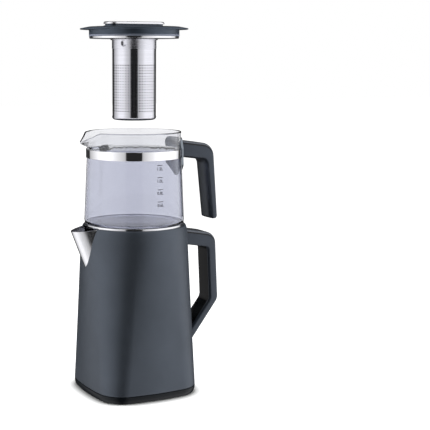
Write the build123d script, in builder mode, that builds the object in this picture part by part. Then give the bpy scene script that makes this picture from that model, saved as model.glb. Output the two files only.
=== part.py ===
"""Automatic tea maker: a kettle on its power base, a glass teapot that stands on the kettle's
mouth, and a lid that carries a perforated infuser. The lid is modelled lifted off the teapot.

Frame: millimetres, +Z up, origin at the centre of the underside of the base. Both spouts point
to -X and both handles to +X, and the whole object mirrors across the XZ plane.
"""
import os
from math import acos, atan2, cos, degrees, sin, sqrt

from build123d import *

os.makedirs("parts", exist_ok=True)

# ---- Clearances ----
seat_gap = 0.3  # between two pieces that rest on each other and come apart
fit_gap = 0.1  # between fixed pieces of one assembly
slide_gap = 0.4  # radial, between pieces that turn or plug into each other
trim_gap = 0.6  # shadow line between two visible covers
cut_margin = 1.0  # by which a cut runs past the surface that it opens

# ---- Outline of the kettle's foot: a square with bowed sides ----
body_half_side = 74.0
body_side_radius = 300.0
body_corner_radius = 36.0

# ---- Power base ----
base_height = 10.0
base_wall = 2.2
base_undercut = 1.5
base_lift = 0.5  # the plate's height above the surface that the feet stand on
base_plate_thickness = 2.4
foot_radius = 8.0
foot_inset = 24.0  # of each foot's middle from the sides, along X and along Y
foot_corner_distance = body_half_side - foot_inset
base_screw_inset = 36.0
base_screw_distance = body_half_side - base_screw_inset
connector_radius = 12.0
connector_height = 12.0  # above the base
connector_flange = 7.0
connector_slot_width = 1.6
connector_edge_radius = 1.0
gland_width = 9.0
gland_height = 3.8
gland_length = 9.0
gland_proud = 1.0
gland_corner = 1.2
cord_slot_wall = 0.8

# ---- Kettle body ----
kettle_top = 230.0
body_draw_in = 0.5  # from the foot's sides to the round top
body_top_radius = body_half_side - body_draw_in
shell_wall = 2.4
shoulder_height = 27.0  # the soft curve from the body to its mouth
shoulder_inset = 4.2
pot_clearance = 5.5  # from the outside of the body
pot_radius = body_top_radius - pot_clearance
pot_wall = 0.8
pot_floor = 35.0
pot_corner_radius = 6.0
pot_rim_drop = 1.0  # below the shell's top
ledge_width = 11.0
ledge_radius = pot_radius - ledge_width
ledge_thickness = 1.6
ring_lip_height = 3.6
ring_lip_width = 1.1
kettle_plate_thickness = 3.0
heating_plate_margin = 10.0
heating_plate_radius = pot_radius - heating_plate_margin
heating_plate_thickness = 3.0
element_margin = 16.0
element_radius = heating_plate_radius - element_margin
element_tube_radius = 3.3
element_gap_angle = 50.0
control_radius = 26.0
control_socket_roof = 3.0
shell_post_radius = 4.2
shell_post_height = 18.0
post_inset = 18.0
post_corner_distance = body_half_side - post_inset

# ---- Kettle spout ----
kettle_spout_length = 27.5  # from the pot to the unrounded tip
kettle_spout_reach = pot_radius + kettle_spout_length
kettle_flank_inset = 9.3
kettle_flank_radius = pot_radius - kettle_flank_inset  # of the circle that both flanks touch
kettle_spout_drop = 63.0
kettle_spout_foot = kettle_top - kettle_spout_drop
kettle_spout_tip_drop = 3.5
kettle_spout_tip_height = kettle_top - kettle_spout_tip_drop
kettle_spout_foot_shift = 4.0  # rise of the spout's inner foot for each unit of its wall
kettle_keel_radius = 2.5

# ---- Kettle handle, side outline in the XZ plane ----
handle_width = 33.0
handle_edge_radius = 3.5
handle_cover_thickness = 3.0
kettle_arm_drop = 10.6
kettle_arm_height = kettle_top - kettle_arm_drop  # top of the upper arm where it leaves the body
kettle_arm_reach = 45.2
kettle_arm_fall = 8.0
kettle_arm_corner = (body_half_side + kettle_arm_reach, kettle_arm_height - kettle_arm_fall)
kettle_grip_reach = 50.3
kettle_grip_end = 117.0
kettle_grip_foot = (body_half_side + kettle_grip_reach, kettle_grip_end)
kettle_root_height = 50.4  # underside of the lower arm where it meets the body
kettle_arm_thickness = 21.5  # upright
kettle_grip_thickness = 13.0  # along X
kettle_root_thickness = 18.0  # upright
kettle_arm_bend = 18.0
kettle_grip_bend = 14.0
kettle_inner_bend = 6.0
insert_thickness = 1.6
insert_margin = 4.5
cover_groove_height = 1.4
cover_groove_depth = 3.0
handle_screw_length = 7.0
arm_screw_drop = 11.0
root_screw_rise = 14.0

# ---- Switch, low on the back under the handle ----
switch_height = 26.0
switch_width = 15.0
switch_opening_height = 13.0
switch_thickness = 5.0
switch_reach = 9.0
switch_pivot_depth = 5.5
switch_pin_radius = 1.5
bezel_frame = 3.0
bezel_flange = 1.6
bezel_flange_thickness = 1.2
bezel_depth = 8.5
switch_block_length = 12.0
switch_block_chamfer = 0.5

# ---- Teapot ----
glass_height = 125.5
glass_wall = 1.8
glass_floor = 2.4
glass_foot_radius = pot_radius
glass_corner_radius = 6.5
glass_draw_in = 3.8  # from the foot to the neck
glass_neck_radius = glass_foot_radius - glass_draw_in
glass_neck_height = 90.0
glass_neck_top = 102.5
glass_throat_radius = glass_neck_radius - 1.2
glass_rim_radius = glass_neck_radius - 0.6
band_top = 102.0  # heights on the teapot are measured from its underside
band_height = 11.5
band_thickness = 0.9
glass_spout_length = 16.8
glass_spout_reach = glass_neck_radius + glass_spout_length
glass_spout_foot = 103.5
glass_spout_level = 112.5  # where the spout reaches out furthest
glass_spout_tip_radius = 6.0
glass_spout_foot_shift = 1.5  # rise of the spout's inner foot for each unit of the glass wall
shield_top = 116.0
shield_tip = 61.0
shield_shoulder = 79.0
shield_half_width = 22.0
shield_thickness = 3.4
shield_tip_radius = 7.0
shield_corner_radius = 9.0

# ---- Teapot handle, side outline in the XZ plane ----
teapot_arm_drop = 13.2  # from the glass's rim to the top of the arm where it leaves the glass
teapot_arm_reach = 50.3  # from the glass's neck to the arm's corner
teapot_arm_fall = 7.0  # along the arm
teapot_grip_reach = 58.2  # from the glass's neck to the grip's free end
teapot_grip_fall = 111.7  # from the arm's root to the grip's free end
teapot_arm_thickness = 23.5  # upright
teapot_grip_thickness = 10.8  # along X at the free end
teapot_grip_taper = 3.7  # added at the top of the grip
teapot_arm_bend = 20.0
teapot_inner_bend = 8.0
teapot_end_bend = 5.2
tongue_width = 14.0
tongue_length = 15.0
tongue_height = 9.0
tongue_level = 97.5
tongue_cheek = 2.4  # of the handle, above the tongue under the screw's head

# ---- Lid ----
lid_lift = 135.0
lid_overhang = 8.6
lid_radius = glass_rim_radius + lid_overhang
lid_edge_thickness = 1.6
lid_crest_height = 3.8
lid_crest_radius = glass_rim_radius - 3.6
lid_crest_width = 7.0
lid_disc_radius = lid_crest_radius - lid_crest_width
lid_disc_height = 1.8
lid_plug_clearance = 2.7
lid_plug_radius = glass_throat_radius - lid_plug_clearance
lid_plug_depth = 6.3
lid_plug_wall = 3.0
lid_skin = 1.6
seal_radius = lid_plug_radius + 0.6
seal_height = 2.6
seal_width = 6.0
under_ring_height = 3.0
under_ring_radius = lid_plug_radius - 0.5
under_ring_hole = 24.0
knob_length = 85.0
knob_width = 29.0
knob_corner_radius = 12.0
knob_height = 8.6
knob_foot_height = 3.4
knob_groove_height = 2.1
knob_groove_depth = 2.0
knob_trim_width = 3.6
knob_bevel = 1.4
knob_cap_thickness = 1.0
knob_screw_distance = 25.0

# ---- Infuser ----
infuser_radius = 29.3
infuser_wall = 0.6
infuser_depth = 119.0  # from the underside of the lid's flange to the infuser's underside
infuser_corner_radius = 4.0
collar_height = 13.0
collar_step = 0.4
rolled_rim_radius = 31.6
rolled_rim_height = 1.5
boss_flange = 5.3
boss_flange_thickness = 1.6
boss_wall = 3.0
lid_screw_circle_radius = 18.0
lid_post_radius = 3.5
under_ring_wall = 0.8
under_ring_bend = 0.7
dimple_count = 3
dimple_angle = -23.4
dimple_depth = 1.3
dimple_sphere_radius = 8.0
dimple_drop = 6.0
bayonet_turn = 28.0
bayonet_margin = 0.6  # all round each dimple in its slot
boss_slot_depth = 1.3
hole_size = 1.9
hole_rows = 11
hole_columns = 16
hole_field_top = 46.0  # below the lid's flange
hole_field_height = 58.0
base_hole_radius = 1.2
base_hole_rings = 3

# ---- Fasteners ----
screw_radius = 1.5
screw_head_radius = 2.8
screw_head_height = 1.6

# ---- Sizes that follow from the ones above ----
side_offset = body_side_radius - body_half_side
corner_reach = body_side_radius - body_corner_radius
corner_offset = (sqrt(2 * corner_reach**2 - side_offset**2) - side_offset) / 2
side_angle = degrees(atan2(corner_offset, corner_offset + side_offset))
kettle_seat = base_height + seat_gap
shell_foot = base_height + trim_gap
shoulder_foot = kettle_top - shoulder_height
pot_rim = kettle_top - pot_rim_drop
mouth_radius = pot_radius + seat_gap
glass_seat = pot_rim + ledge_thickness + seat_gap
glass_rim = glass_seat + glass_height
teapot_arm_height = glass_rim - teapot_arm_drop
teapot_arm_corner = (glass_neck_radius + teapot_arm_reach, teapot_arm_height - teapot_arm_fall)
teapot_grip_foot = (glass_neck_radius + teapot_grip_reach, teapot_arm_height - teapot_grip_fall)
lid_level = glass_rim + lid_lift
disc_level = lid_level + lid_disc_height
knob_top = disc_level + knob_height
plug_foot = lid_level - lid_plug_depth
seal_foot = plug_foot - seal_height
under_ring_foot = seal_foot - under_ring_height
collar_radius = infuser_radius + collar_step
collar_inner_radius = collar_radius - infuser_wall
boss_radius = collar_inner_radius - slide_gap
rim_level = under_ring_foot - seat_gap
collar_foot = rim_level - collar_height
infuser_foot = lid_level - infuser_depth
shell_taper = (body_half_side - body_top_radius) / (shoulder_foot - shell_foot)
groove_drop = handle_cover_thickness + cover_groove_height
tongue_drop = groove_drop - fit_gap
cover_tongue_width = handle_width - 2 * cover_groove_depth
insert_width = handle_width - 2 * insert_margin
arm_screw_level = kettle_arm_height - arm_screw_drop
root_screw_level = kettle_root_height + root_screw_rise


# ---------------------------------------------------------------- shared outlines
def eight_arcs(side_centre, side_arc_radius, corner_centre, corner_arc_radius, half_angle):
    """Four side arcs and four corner arcs, joined end to end around the axis."""
    for quarter in range(4):
        turn = 90 * quarter
        side = Vector(-side_centre, 0).rotate(Axis.Z, turn)
        corner = Vector(corner_centre, corner_centre).rotate(Axis.Z, turn)
        CenterArc(side, side_arc_radius, turn - half_angle, 2 * half_angle)
        CenterArc(corner, corner_arc_radius, turn + half_angle, 90 - 2 * half_angle)


def square_section(height, inset=0.0):
    """Bowed square of the kettle's foot at a height, drawn in by an inset."""
    with BuildSketch(Plane.XY.offset(height)) as section:
        with BuildLine():
            eight_arcs(
                side_offset,
                body_side_radius - inset,
                corner_offset,
                body_corner_radius - inset,
                side_angle,
            )
        make_face()
    return section.sketch


def round_section(height, radius):
    """Circle in eight arcs, to loft from the bowed square."""
    with BuildSketch(Plane.XY.offset(height)) as section:
        with BuildLine():
            eight_arcs(0, radius, 0, radius, 22.5)
        make_face()
    return section.sketch


def body_form(inset=0.0):
    """Solid of the kettle's body: square foot, round neck and a soft shoulder up to its top."""
    foot = square_section(shell_foot, inset)
    neck = round_section(shoulder_foot, body_top_radius - inset)
    mouth = body_top_radius - shoulder_inset - inset
    with BuildPart() as form:
        loft(sections=[foot, neck])
        with BuildSketch(Plane.XZ):
            with BuildLine():
                EllipticalCenterArc((mouth, shoulder_foot), shoulder_inset, shoulder_height)
                Line((mouth, kettle_top), (0, kettle_top))
                Line((0, kettle_top), (0, shoulder_foot))
                Line((0, shoulder_foot), (mouth + shoulder_inset, shoulder_foot))
            make_face()
        revolve(axis=Axis.Z)
    return form.part


def side_reach(level):
    """Distance from the axis to the middle of the body's side at a level."""
    if level < shoulder_foot:
        return body_half_side - shell_taper * (level - shell_foot)
    share = (level - shoulder_foot) / shoulder_height
    return body_top_radius - shoulder_inset * (1 - sqrt(1 - share**2))


def spout_section(height, flank_radius, reach, tip_radius):
    """Pointed outline whose flanks touch a circle about the axis and meet at the tip."""
    tangent_angle = acos(flank_radius / reach)
    side_x = -flank_radius * cos(tangent_angle)
    side_y = flank_radius * sin(tangent_angle)
    with BuildSketch(Plane.XY.offset(height)) as section:
        with BuildLine() as outline:
            Polyline((-reach, 0), (side_x, side_y), (0, 0), (side_x, -side_y), close=True)
            fillet(outline.vertices().sort_by(Axis.X)[0], tip_radius)
        make_face()
    return section.sketch


def kettle_spout_form(shrink, rise=0.0):
    """Solid of the kettle's V spout, drawn in by a wall, with a straight rise on top of it."""
    flank_radius = kettle_flank_radius - shrink
    scale_in = flank_radius / kettle_flank_radius
    top_reach = kettle_spout_reach * scale_in
    foot_reach = (pot_radius + kettle_keel_radius / 2) * scale_in
    keel_radius = kettle_keel_radius - shrink
    foot_level = kettle_spout_foot + kettle_spout_foot_shift * shrink
    foot = spout_section(foot_level, flank_radius, foot_reach, keel_radius)
    top = spout_section(pot_rim, flank_radius, top_reach, keel_radius)
    with BuildPart() as form:
        loft(sections=[foot, top])
        if rise:
            extrude(top, amount=rise)
    return form.part


def at_x(start, end, x):
    """Point at an X on the line through two points of a side outline."""
    slope = (end[1] - start[1]) / (end[0] - start[0])
    return (x, start[1] + slope * (x - start[0]))


def crossing(first_start, first_end, second_start, second_end):
    """Point where two lines of a side outline cross."""
    first_slope = (first_end[1] - first_start[1]) / (first_end[0] - first_start[0])
    second_slope = (second_end[1] - second_start[1]) / (second_end[0] - second_start[0])
    rise = second_start[1] - first_start[1] + first_slope * first_start[0]
    x = (rise - second_slope * second_start[0]) / (first_slope - second_slope)
    return at_x(first_start, first_end, x)


def raised(point, height):
    """Point of a side outline moved up by a height, or down by a negative one."""
    return (point[0], point[1] + height)


def side_outline(points, bends):
    """Closed side outline in the XZ plane, with a bend radius at each point or 0 for none."""
    with BuildSketch(Plane.XZ) as section:
        with BuildLine() as outline:
            Polyline(*points, close=True)
            for point, bend in zip(points, bends):
                corner = outline.vertices().sort_by_distance((point[0], point[1], 0))[0]
                if bend:
                    fillet(corner, bend)
        make_face()
    return section.sketch


def cup_outline(radius, floor, top, corner_radius):
    """Half section of a round cup with a rounded foot, to turn about Z."""
    with BuildSketch(Plane.XZ) as section:
        with BuildLine() as outline:
            Polyline((0, floor), (radius, floor), (radius, top), (0, top), close=True)
            foot = outline.vertices().sort_by_distance((radius, floor, 0))[0]
            fillet(foot, corner_radius)
        make_face()
    return section.sketch


def ring_outline(inner, outer, foot, top):
    """Half section of a plain ring, to turn about Z."""
    with BuildSketch(Plane.XZ) as section:
        with BuildLine():
            Polyline((inner, foot), (outer, foot), (outer, top), (inner, top), close=True)
        make_face()
    return section.sketch


def rounded_bar(outline, width, edge_radius):
    """Bar of a side outline, as wide on each side of the XZ plane, with rounded long edges."""
    with BuildPart() as bar:
        extrude(outline, amount=width / 2, both=True)
        sides = bar.faces().sort_by(Axis.Y)
        fillet(sides[0].edges() + sides[-1].edges(), edge_radius)
    return bar.part


def pan_screws(places, seat_level, length):
    """Group of pan-head screws that point up, with their heads below a level."""
    with BuildPart() as screws:
        with BuildSketch(Plane.XY.offset(seat_level - screw_head_height)):
            with places:
                Circle(screw_head_radius)
        extrude(amount=screw_head_height)
        with BuildSketch(Plane.XY.offset(seat_level)):
            with places:
                Circle(screw_radius)
        extrude(amount=length)
    return screws.part


def screw_bores(places, seat_level, foot, top):
    """Group of bores for those screws, from a foot to a top, wider below the heads' level."""
    with BuildPart() as bores:
        with BuildSketch(Plane.XY.offset(foot)):
            with places:
                Circle(screw_head_radius + fit_gap)
        extrude(amount=seat_level - foot)
        with BuildSketch(Plane.XY.offset(foot)):
            with places:
                Circle(screw_radius + fit_gap)
        extrude(amount=top - foot)
    return bores.part


def outer_rod(radius, start, length, level, across=0.0):
    """Round rod along +X at a level, from a start."""
    with BuildPart() as rod:
        with BuildSketch(Plane.YZ.offset(start)):
            with Locations((across, level)):
                Circle(radius)
        extrude(amount=length)
    return rod.part


def block(start, length, width, foot, top):
    """Plain block along +X, as wide on each side of the XZ plane."""
    with BuildPart() as form:
        with BuildSketch(Plane.YZ.offset(start)):
            with Locations((0, (foot + top) / 2)):
                Rectangle(width, top - foot)
        extrude(amount=length)
    return form.part


# ---------------------------------------------------------------- power base
plate_top = base_lift + base_plate_thickness
base_ceiling = base_height - base_wall
base_screw_places = GridLocations(2 * base_screw_distance, 2 * base_screw_distance, 2, 2)
gland_level = (plate_top + base_ceiling) / 2

with BuildPart() as base_cover:
    extrude(square_section(base_lift), amount=base_height - base_lift)
    fillet(base_cover.edges().group_by(Axis.Z)[0], base_undercut)
    fillet(base_cover.edges().group_by(Axis.Z)[-1], trim_gap)
    hollow = square_section(base_lift, base_wall + base_undercut / 2)
    extrude(hollow, amount=base_ceiling - base_lift, mode=Mode.SUBTRACT)
    with BuildSketch(Plane.XY.offset(plate_top)):
        with base_screw_places:
            Circle(screw_radius + base_wall)
    extrude(amount=base_ceiling - plate_top)
    with BuildSketch(Plane.XY.offset(plate_top)):
        with base_screw_places:
            Circle(screw_radius + fit_gap)
    extrude(amount=base_ceiling - plate_top - fit_gap, mode=Mode.SUBTRACT)
    with BuildSketch(Plane.XY.offset(base_ceiling)):
        Circle(connector_radius + fit_gap)
    extrude(amount=base_wall, mode=Mode.SUBTRACT)
    with BuildSketch(Plane.YZ.offset(body_half_side - gland_length)):
        with Locations((0, gland_level)):
            RectangleRounded(gland_width + 2 * fit_gap, gland_height + 2 * fit_gap, gland_corner)
    extrude(amount=2 * gland_length, mode=Mode.SUBTRACT)
base_cover.part.label = "base_cover"
export_step(base_cover.part, "parts/base_cover.step")

base_screw_seat = base_lift + screw_head_height
with BuildPart() as base_plate:
    plate_outline = square_section(base_lift, base_wall + base_undercut / 2 + fit_gap)
    extrude(plate_outline, amount=base_plate_thickness)
    add(screw_bores(base_screw_places, base_screw_seat, base_lift, plate_top), mode=Mode.SUBTRACT)
base_plate.part.label = "base_plate"
export_step(base_plate.part, "parts/base_plate.step")

with BuildPart() as base_feet:
    with BuildSketch():
        with GridLocations(2 * foot_corner_distance, 2 * foot_corner_distance, 2, 2):
            Circle(foot_radius)
    extrude(amount=base_lift)
    chamfer(base_feet.edges().group_by(Axis.Z)[0], base_lift / 3)
base_feet.part.label = "base_feet"
export_step(base_feet.part, "parts/base_feet.step")

base_screw_length = base_ceiling - base_screw_seat - trim_gap
with BuildPart() as base_screws:
    add(pan_screws(base_screw_places, base_screw_seat, base_screw_length))
base_screws.part.label = "base_screws"
export_step(base_screws.part, "parts/base_screws.step")

connector_top = base_height + connector_height
with BuildPart() as base_connector:
    with BuildSketch(Plane.XY.offset(plate_top)):
        Circle(connector_radius + connector_flange)
    extrude(amount=base_ceiling - plate_top - fit_gap)
    with BuildSketch(Plane.XY.offset(plate_top)):
        Circle(connector_radius)
    extrude(amount=connector_top - plate_top)
    fillet(base_connector.edges().group_by(Axis.Z)[-1], connector_edge_radius)
    with BuildSketch(Plane.XY.offset(base_height)):
        Circle(connector_radius / 2 + connector_slot_width)
        Circle(connector_radius / 2, mode=Mode.SUBTRACT)
        Circle(connector_slot_width)
    extrude(amount=connector_height, mode=Mode.SUBTRACT)
base_connector.part.label = "base_connector"
export_step(base_connector.part, "parts/base_connector.step")

with BuildPart() as cord_gland:
    with BuildSketch(Plane.YZ.offset(body_half_side - gland_length)):
        with Locations((0, gland_level)):
            RectangleRounded(gland_width, gland_height, gland_corner)
    extrude(amount=gland_length + gland_proud)
    with BuildSketch(Plane.YZ.offset(body_half_side - gland_length)):
        with Locations((0, gland_level)):
            SlotOverall(gland_width - 2 * cord_slot_wall, gland_height - 2 * cord_slot_wall)
    extrude(amount=gland_length + gland_proud, mode=Mode.SUBTRACT)
cord_gland.part.label = "cord_gland"
export_step(cord_gland.part, "parts/cord_gland.step")

# ---------------------------------------------------------------- kettle body
post_places = GridLocations(2 * post_corner_distance, 2 * post_corner_distance, 2, 2)
kettle_plate_top = kettle_seat + kettle_plate_thickness
switch_face = side_reach(switch_height)
bezel_width = switch_width + 2 * bezel_frame
bezel_height = switch_opening_height + 2 * bezel_frame

with BuildPart() as shell_posts:
    with BuildSketch(Plane.XY.offset(kettle_plate_top)):
        with post_places:
            Circle(shell_post_radius)
            Circle(screw_radius + fit_gap, mode=Mode.SUBTRACT)
    extrude(amount=shell_post_height)
    add(body_form(shell_wall / 2), mode=Mode.INTERSECT)

with BuildPart() as kettle_shell:
    add(body_form())
    add(body_form(shell_wall), mode=Mode.SUBTRACT)
    with BuildSketch(Plane.XY.offset(kettle_top - 2 * shell_wall)):
        Circle(mouth_radius)
    extrude(amount=3 * shell_wall, mode=Mode.SUBTRACT)
    add(kettle_spout_form(-fit_gap, pot_rim_drop + cut_margin), mode=Mode.SUBTRACT)
    add(shell_posts)
    with BuildSketch(Plane.YZ.offset(body_half_side - 4 * shell_wall)):
        with Locations((0, switch_height)):
            Rectangle(bezel_width + 2 * fit_gap, bezel_height + 2 * fit_gap)
    extrude(amount=8 * shell_wall, mode=Mode.SUBTRACT)
    for level in (arm_screw_level, root_screw_level):
        bore = outer_rod(screw_radius + fit_gap, pot_radius, 4 * shell_wall, level)
        add(bore, mode=Mode.SUBTRACT)
kettle_shell.part.label = "kettle_shell"
export_step(kettle_shell.part, "parts/kettle_shell.step")

with BuildPart() as kettle_pot:
    revolve(cup_outline(pot_radius, pot_floor, pot_rim, pot_corner_radius), axis=Axis.Z)
    add(kettle_spout_form(0))
    inner_corner = pot_corner_radius - pot_wall
    pot_hollow = cup_outline(pot_radius - pot_wall, pot_floor + pot_wall, pot_rim, inner_corner)
    revolve(pot_hollow, axis=Axis.Z, mode=Mode.SUBTRACT)
    add(kettle_spout_form(pot_wall), mode=Mode.SUBTRACT)
    with BuildSketch(Plane.XZ):
        with BuildLine():
            spout_lip = (-kettle_spout_reach, kettle_spout_tip_height)
            Polyline(
                (-pot_radius, pot_rim),
                spout_lip,
                (-kettle_spout_reach - cut_margin, kettle_spout_tip_height),
                (-kettle_spout_reach - cut_margin, pot_rim + cut_margin),
                (-pot_radius, pot_rim + cut_margin),
                close=True,
            )
        make_face()
    extrude(amount=pot_radius, both=True, mode=Mode.SUBTRACT)
kettle_pot.part.label = "kettle_pot"
export_step(kettle_pot.part, "parts/kettle_pot.step")

ledge_top = pot_rim + ledge_thickness
with BuildPart() as kettle_ring:
    with BuildSketch(Plane.XZ):
        with BuildLine():
            Polyline(
                (ledge_radius, pot_rim - 2 * ledge_thickness),
                (ledge_radius + ledge_thickness, pot_rim - 2 * ledge_thickness),
                (ledge_radius + ledge_thickness, pot_rim),
                (pot_radius, pot_rim),
                (pot_radius, pot_rim + ring_lip_height),
                (pot_radius - ring_lip_width, pot_rim + ring_lip_height),
                (pot_radius - ring_lip_width, ledge_top),
                (ledge_radius, ledge_top),
                close=True,
            )
        make_face()
    revolve(axis=Axis.Z)
    fillet(kettle_ring.edges().group_by(Axis.Z)[-1], ring_lip_width / 3)
kettle_ring.part.label = "kettle_ring"
export_step(kettle_ring.part, "parts/kettle_ring.step")

kettle_screw_seat = kettle_seat + screw_head_height
with BuildPart() as kettle_plate:
    plate_outline = square_section(kettle_seat, shell_wall + seat_gap)
    extrude(plate_outline, amount=kettle_plate_thickness)
    with BuildSketch(Plane.XY.offset(kettle_seat)):
        Circle(connector_radius + slide_gap)
    extrude(amount=kettle_plate_thickness, mode=Mode.SUBTRACT)
    plate_bores = screw_bores(post_places, kettle_screw_seat, kettle_seat, kettle_plate_top)
    add(plate_bores, mode=Mode.SUBTRACT)
kettle_plate.part.label = "kettle_plate"
export_step(kettle_plate.part, "parts/kettle_plate.step")

with BuildPart() as kettle_screws:
    add(pan_screws(post_places, kettle_screw_seat, shell_post_height / 2))
kettle_screws.part.label = "kettle_screws"
export_step(kettle_screws.part, "parts/kettle_screws.step")

heater_foot = pot_floor - heating_plate_thickness
with BuildPart() as heating_plate:
    with BuildSketch(Plane.XY.offset(heater_foot)):
        Circle(heating_plate_radius)
    extrude(amount=heating_plate_thickness)
    chamfer(heating_plate.edges().group_by(Axis.Z)[0], heating_plate_thickness / 3)
heating_plate.part.label = "heating_plate"
export_step(heating_plate.part, "parts/heating_plate.step")

element_level = heater_foot - element_tube_radius - fit_gap
with BuildPart() as heating_element:
    with BuildSketch(Plane.XZ):
        with Locations((element_radius, element_level)):
            Circle(element_tube_radius)
    revolve(axis=Axis.Z, revolution_arc=360 - element_gap_angle)
heating_element.part.label = "heating_element"
export_step(heating_element.part, "parts/heating_element.step")

socket_roof = connector_top + seat_gap
pin_radius = connector_slot_width - slide_gap
contact_middle = (connector_radius + connector_slot_width) / 2
with BuildPart() as thermostat_control:
    with BuildSketch(Plane.XY.offset(kettle_plate_top)):
        Circle(control_radius)
    extrude(amount=heater_foot - fit_gap - kettle_plate_top)
    with BuildSketch(Plane.XY.offset(kettle_plate_top)):
        Circle(connector_radius + slide_gap)
    extrude(amount=socket_roof - kettle_plate_top, mode=Mode.SUBTRACT)
    with BuildSketch(Plane.XY.offset(base_height + seat_gap + slide_gap)):
        Circle(pin_radius)
        Circle(connector_radius / 2 + connector_slot_width - slide_gap)
        Circle(connector_radius / 2 + slide_gap, mode=Mode.SUBTRACT)
        Circle(pin_radius)
    extrude(amount=connector_height)
thermostat_control.part.label = "thermostat_control"
export_step(thermostat_control.part, "parts/thermostat_control.step")


# ---------------------------------------------------------------- kettle handle
def kettle_handle_outline(drop=0.0, liner=0.0):
    """Side outline of the kettle's handle, lowered on top for its cover or thinned inside."""
    arm_root = raised((body_top_radius, kettle_arm_height), -drop)
    arm_end = raised(kettle_arm_corner, -drop)
    grip_end = (kettle_grip_foot[0], kettle_grip_foot[1])
    root_end = (body_half_side, kettle_root_height)
    inner_arm_root = raised((body_top_radius, kettle_arm_height), -kettle_arm_thickness)
    inner_arm_end = raised(kettle_arm_corner, -kettle_arm_thickness)
    inner_shift = kettle_grip_thickness - liner
    inner_grip_top = (kettle_arm_corner[0] - inner_shift, kettle_arm_corner[1])
    inner_grip_foot = (kettle_grip_foot[0] - inner_shift, kettle_grip_foot[1])
    liner_drop = kettle_root_thickness * (1 - liner / kettle_grip_thickness)
    inner_root = raised(root_end, liner_drop)
    inner_elbow = raised(grip_end, liner_drop)
    middle = body_half_side - kettle_grip_thickness
    points = [
        at_x(arm_root, arm_end, middle),
        crossing(arm_root, arm_end, kettle_arm_corner, grip_end),
        grip_end,
        at_x(grip_end, root_end, middle),
        at_x(inner_elbow, inner_root, middle),
        crossing(inner_elbow, inner_root, inner_grip_top, inner_grip_foot),
        crossing(inner_arm_root, inner_arm_end, inner_grip_top, inner_grip_foot),
        at_x(inner_arm_root, inner_arm_end, middle),
    ]
    inner = kettle_inner_bend
    bends = [0, kettle_arm_bend, kettle_grip_bend, 0, 0, inner + kettle_inner_bend, inner, 0]
    return side_outline(points, bends)


def handle_bar(outline, width):
    """Square-edged bar of a handle's side outline."""
    with BuildPart() as bar:
        extrude(outline, amount=width / 2, both=True)
    return bar.part


def kettle_insert_form(width, thickness):
    """Liner along the inside of the grip and the lower arm."""
    with BuildPart() as liner:
        add(handle_bar(kettle_handle_outline(), width))
        thinned = handle_bar(kettle_handle_outline(0, thickness), handle_width)
        add(thinned, mode=Mode.SUBTRACT)
    return liner.part


kettle_bar = rounded_bar(kettle_handle_outline(), handle_width, handle_edge_radius)
shell_outside = body_form(-fit_gap)

with BuildPart() as kettle_handle:
    add(kettle_bar)
    add(handle_bar(kettle_handle_outline(groove_drop), 2 * handle_width), mode=Mode.INTERSECT)
    add(shell_outside, mode=Mode.SUBTRACT)
    insert_pocket = kettle_insert_form(insert_width + 2 * fit_gap, insert_thickness + fit_gap)
    add(insert_pocket, mode=Mode.SUBTRACT)
    for level in (arm_screw_level, root_screw_level):
        bore = outer_rod(screw_radius + fit_gap, pot_radius, 2 * handle_screw_length, level)
        add(bore, mode=Mode.SUBTRACT)
kettle_handle.part.label = "kettle_handle"
export_step(kettle_handle.part, "parts/kettle_handle.step")

with BuildPart() as kettle_handle_insert:
    add(kettle_insert_form(insert_width, insert_thickness))
    add(shell_outside, mode=Mode.SUBTRACT)
    with BuildSketch(Plane.XY.offset(kettle_arm_height - kettle_arm_thickness - groove_drop)):
        Rectangle(4 * body_half_side, handle_width)
    extrude(amount=kettle_arm_thickness, mode=Mode.SUBTRACT)
kettle_handle_insert.part.label = "kettle_handle_insert"
export_step(kettle_handle_insert.part, "parts/kettle_handle_insert.step")

with BuildPart() as kettle_handle_cover:
    add(kettle_bar)
    lowered = handle_bar(kettle_handle_outline(handle_cover_thickness), handle_width)
    add(lowered, mode=Mode.SUBTRACT)
    add(handle_bar(kettle_handle_outline(handle_cover_thickness / 2), cover_tongue_width))
    tongue_floor = handle_bar(kettle_handle_outline(tongue_drop), handle_width)
    add(tongue_floor, mode=Mode.SUBTRACT)
    add(shell_outside, mode=Mode.SUBTRACT)
    cover_end = kettle_arm_corner[1] - kettle_arm_bend
    with BuildSketch(Plane.XY.offset(cover_end)):
        Rectangle(4 * body_half_side, handle_width)
    extrude(amount=-cover_end, mode=Mode.SUBTRACT)
kettle_handle_cover.part.label = "kettle_handle_cover"
export_step(kettle_handle_cover.part, "parts/kettle_handle_cover.step")

with BuildPart() as kettle_handle_screws:
    for level in (arm_screw_level, root_screw_level):
        seat = side_reach(level) - shell_wall - seat_gap
        add(outer_rod(screw_head_radius, seat - screw_head_height, screw_head_height, level))
        add(outer_rod(screw_radius, seat - fit_gap, shell_wall + handle_screw_length, level))
kettle_handle_screws.part.label = "kettle_handle_screws"
export_step(kettle_handle_screws.part, "parts/kettle_handle_screws.step")

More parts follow.
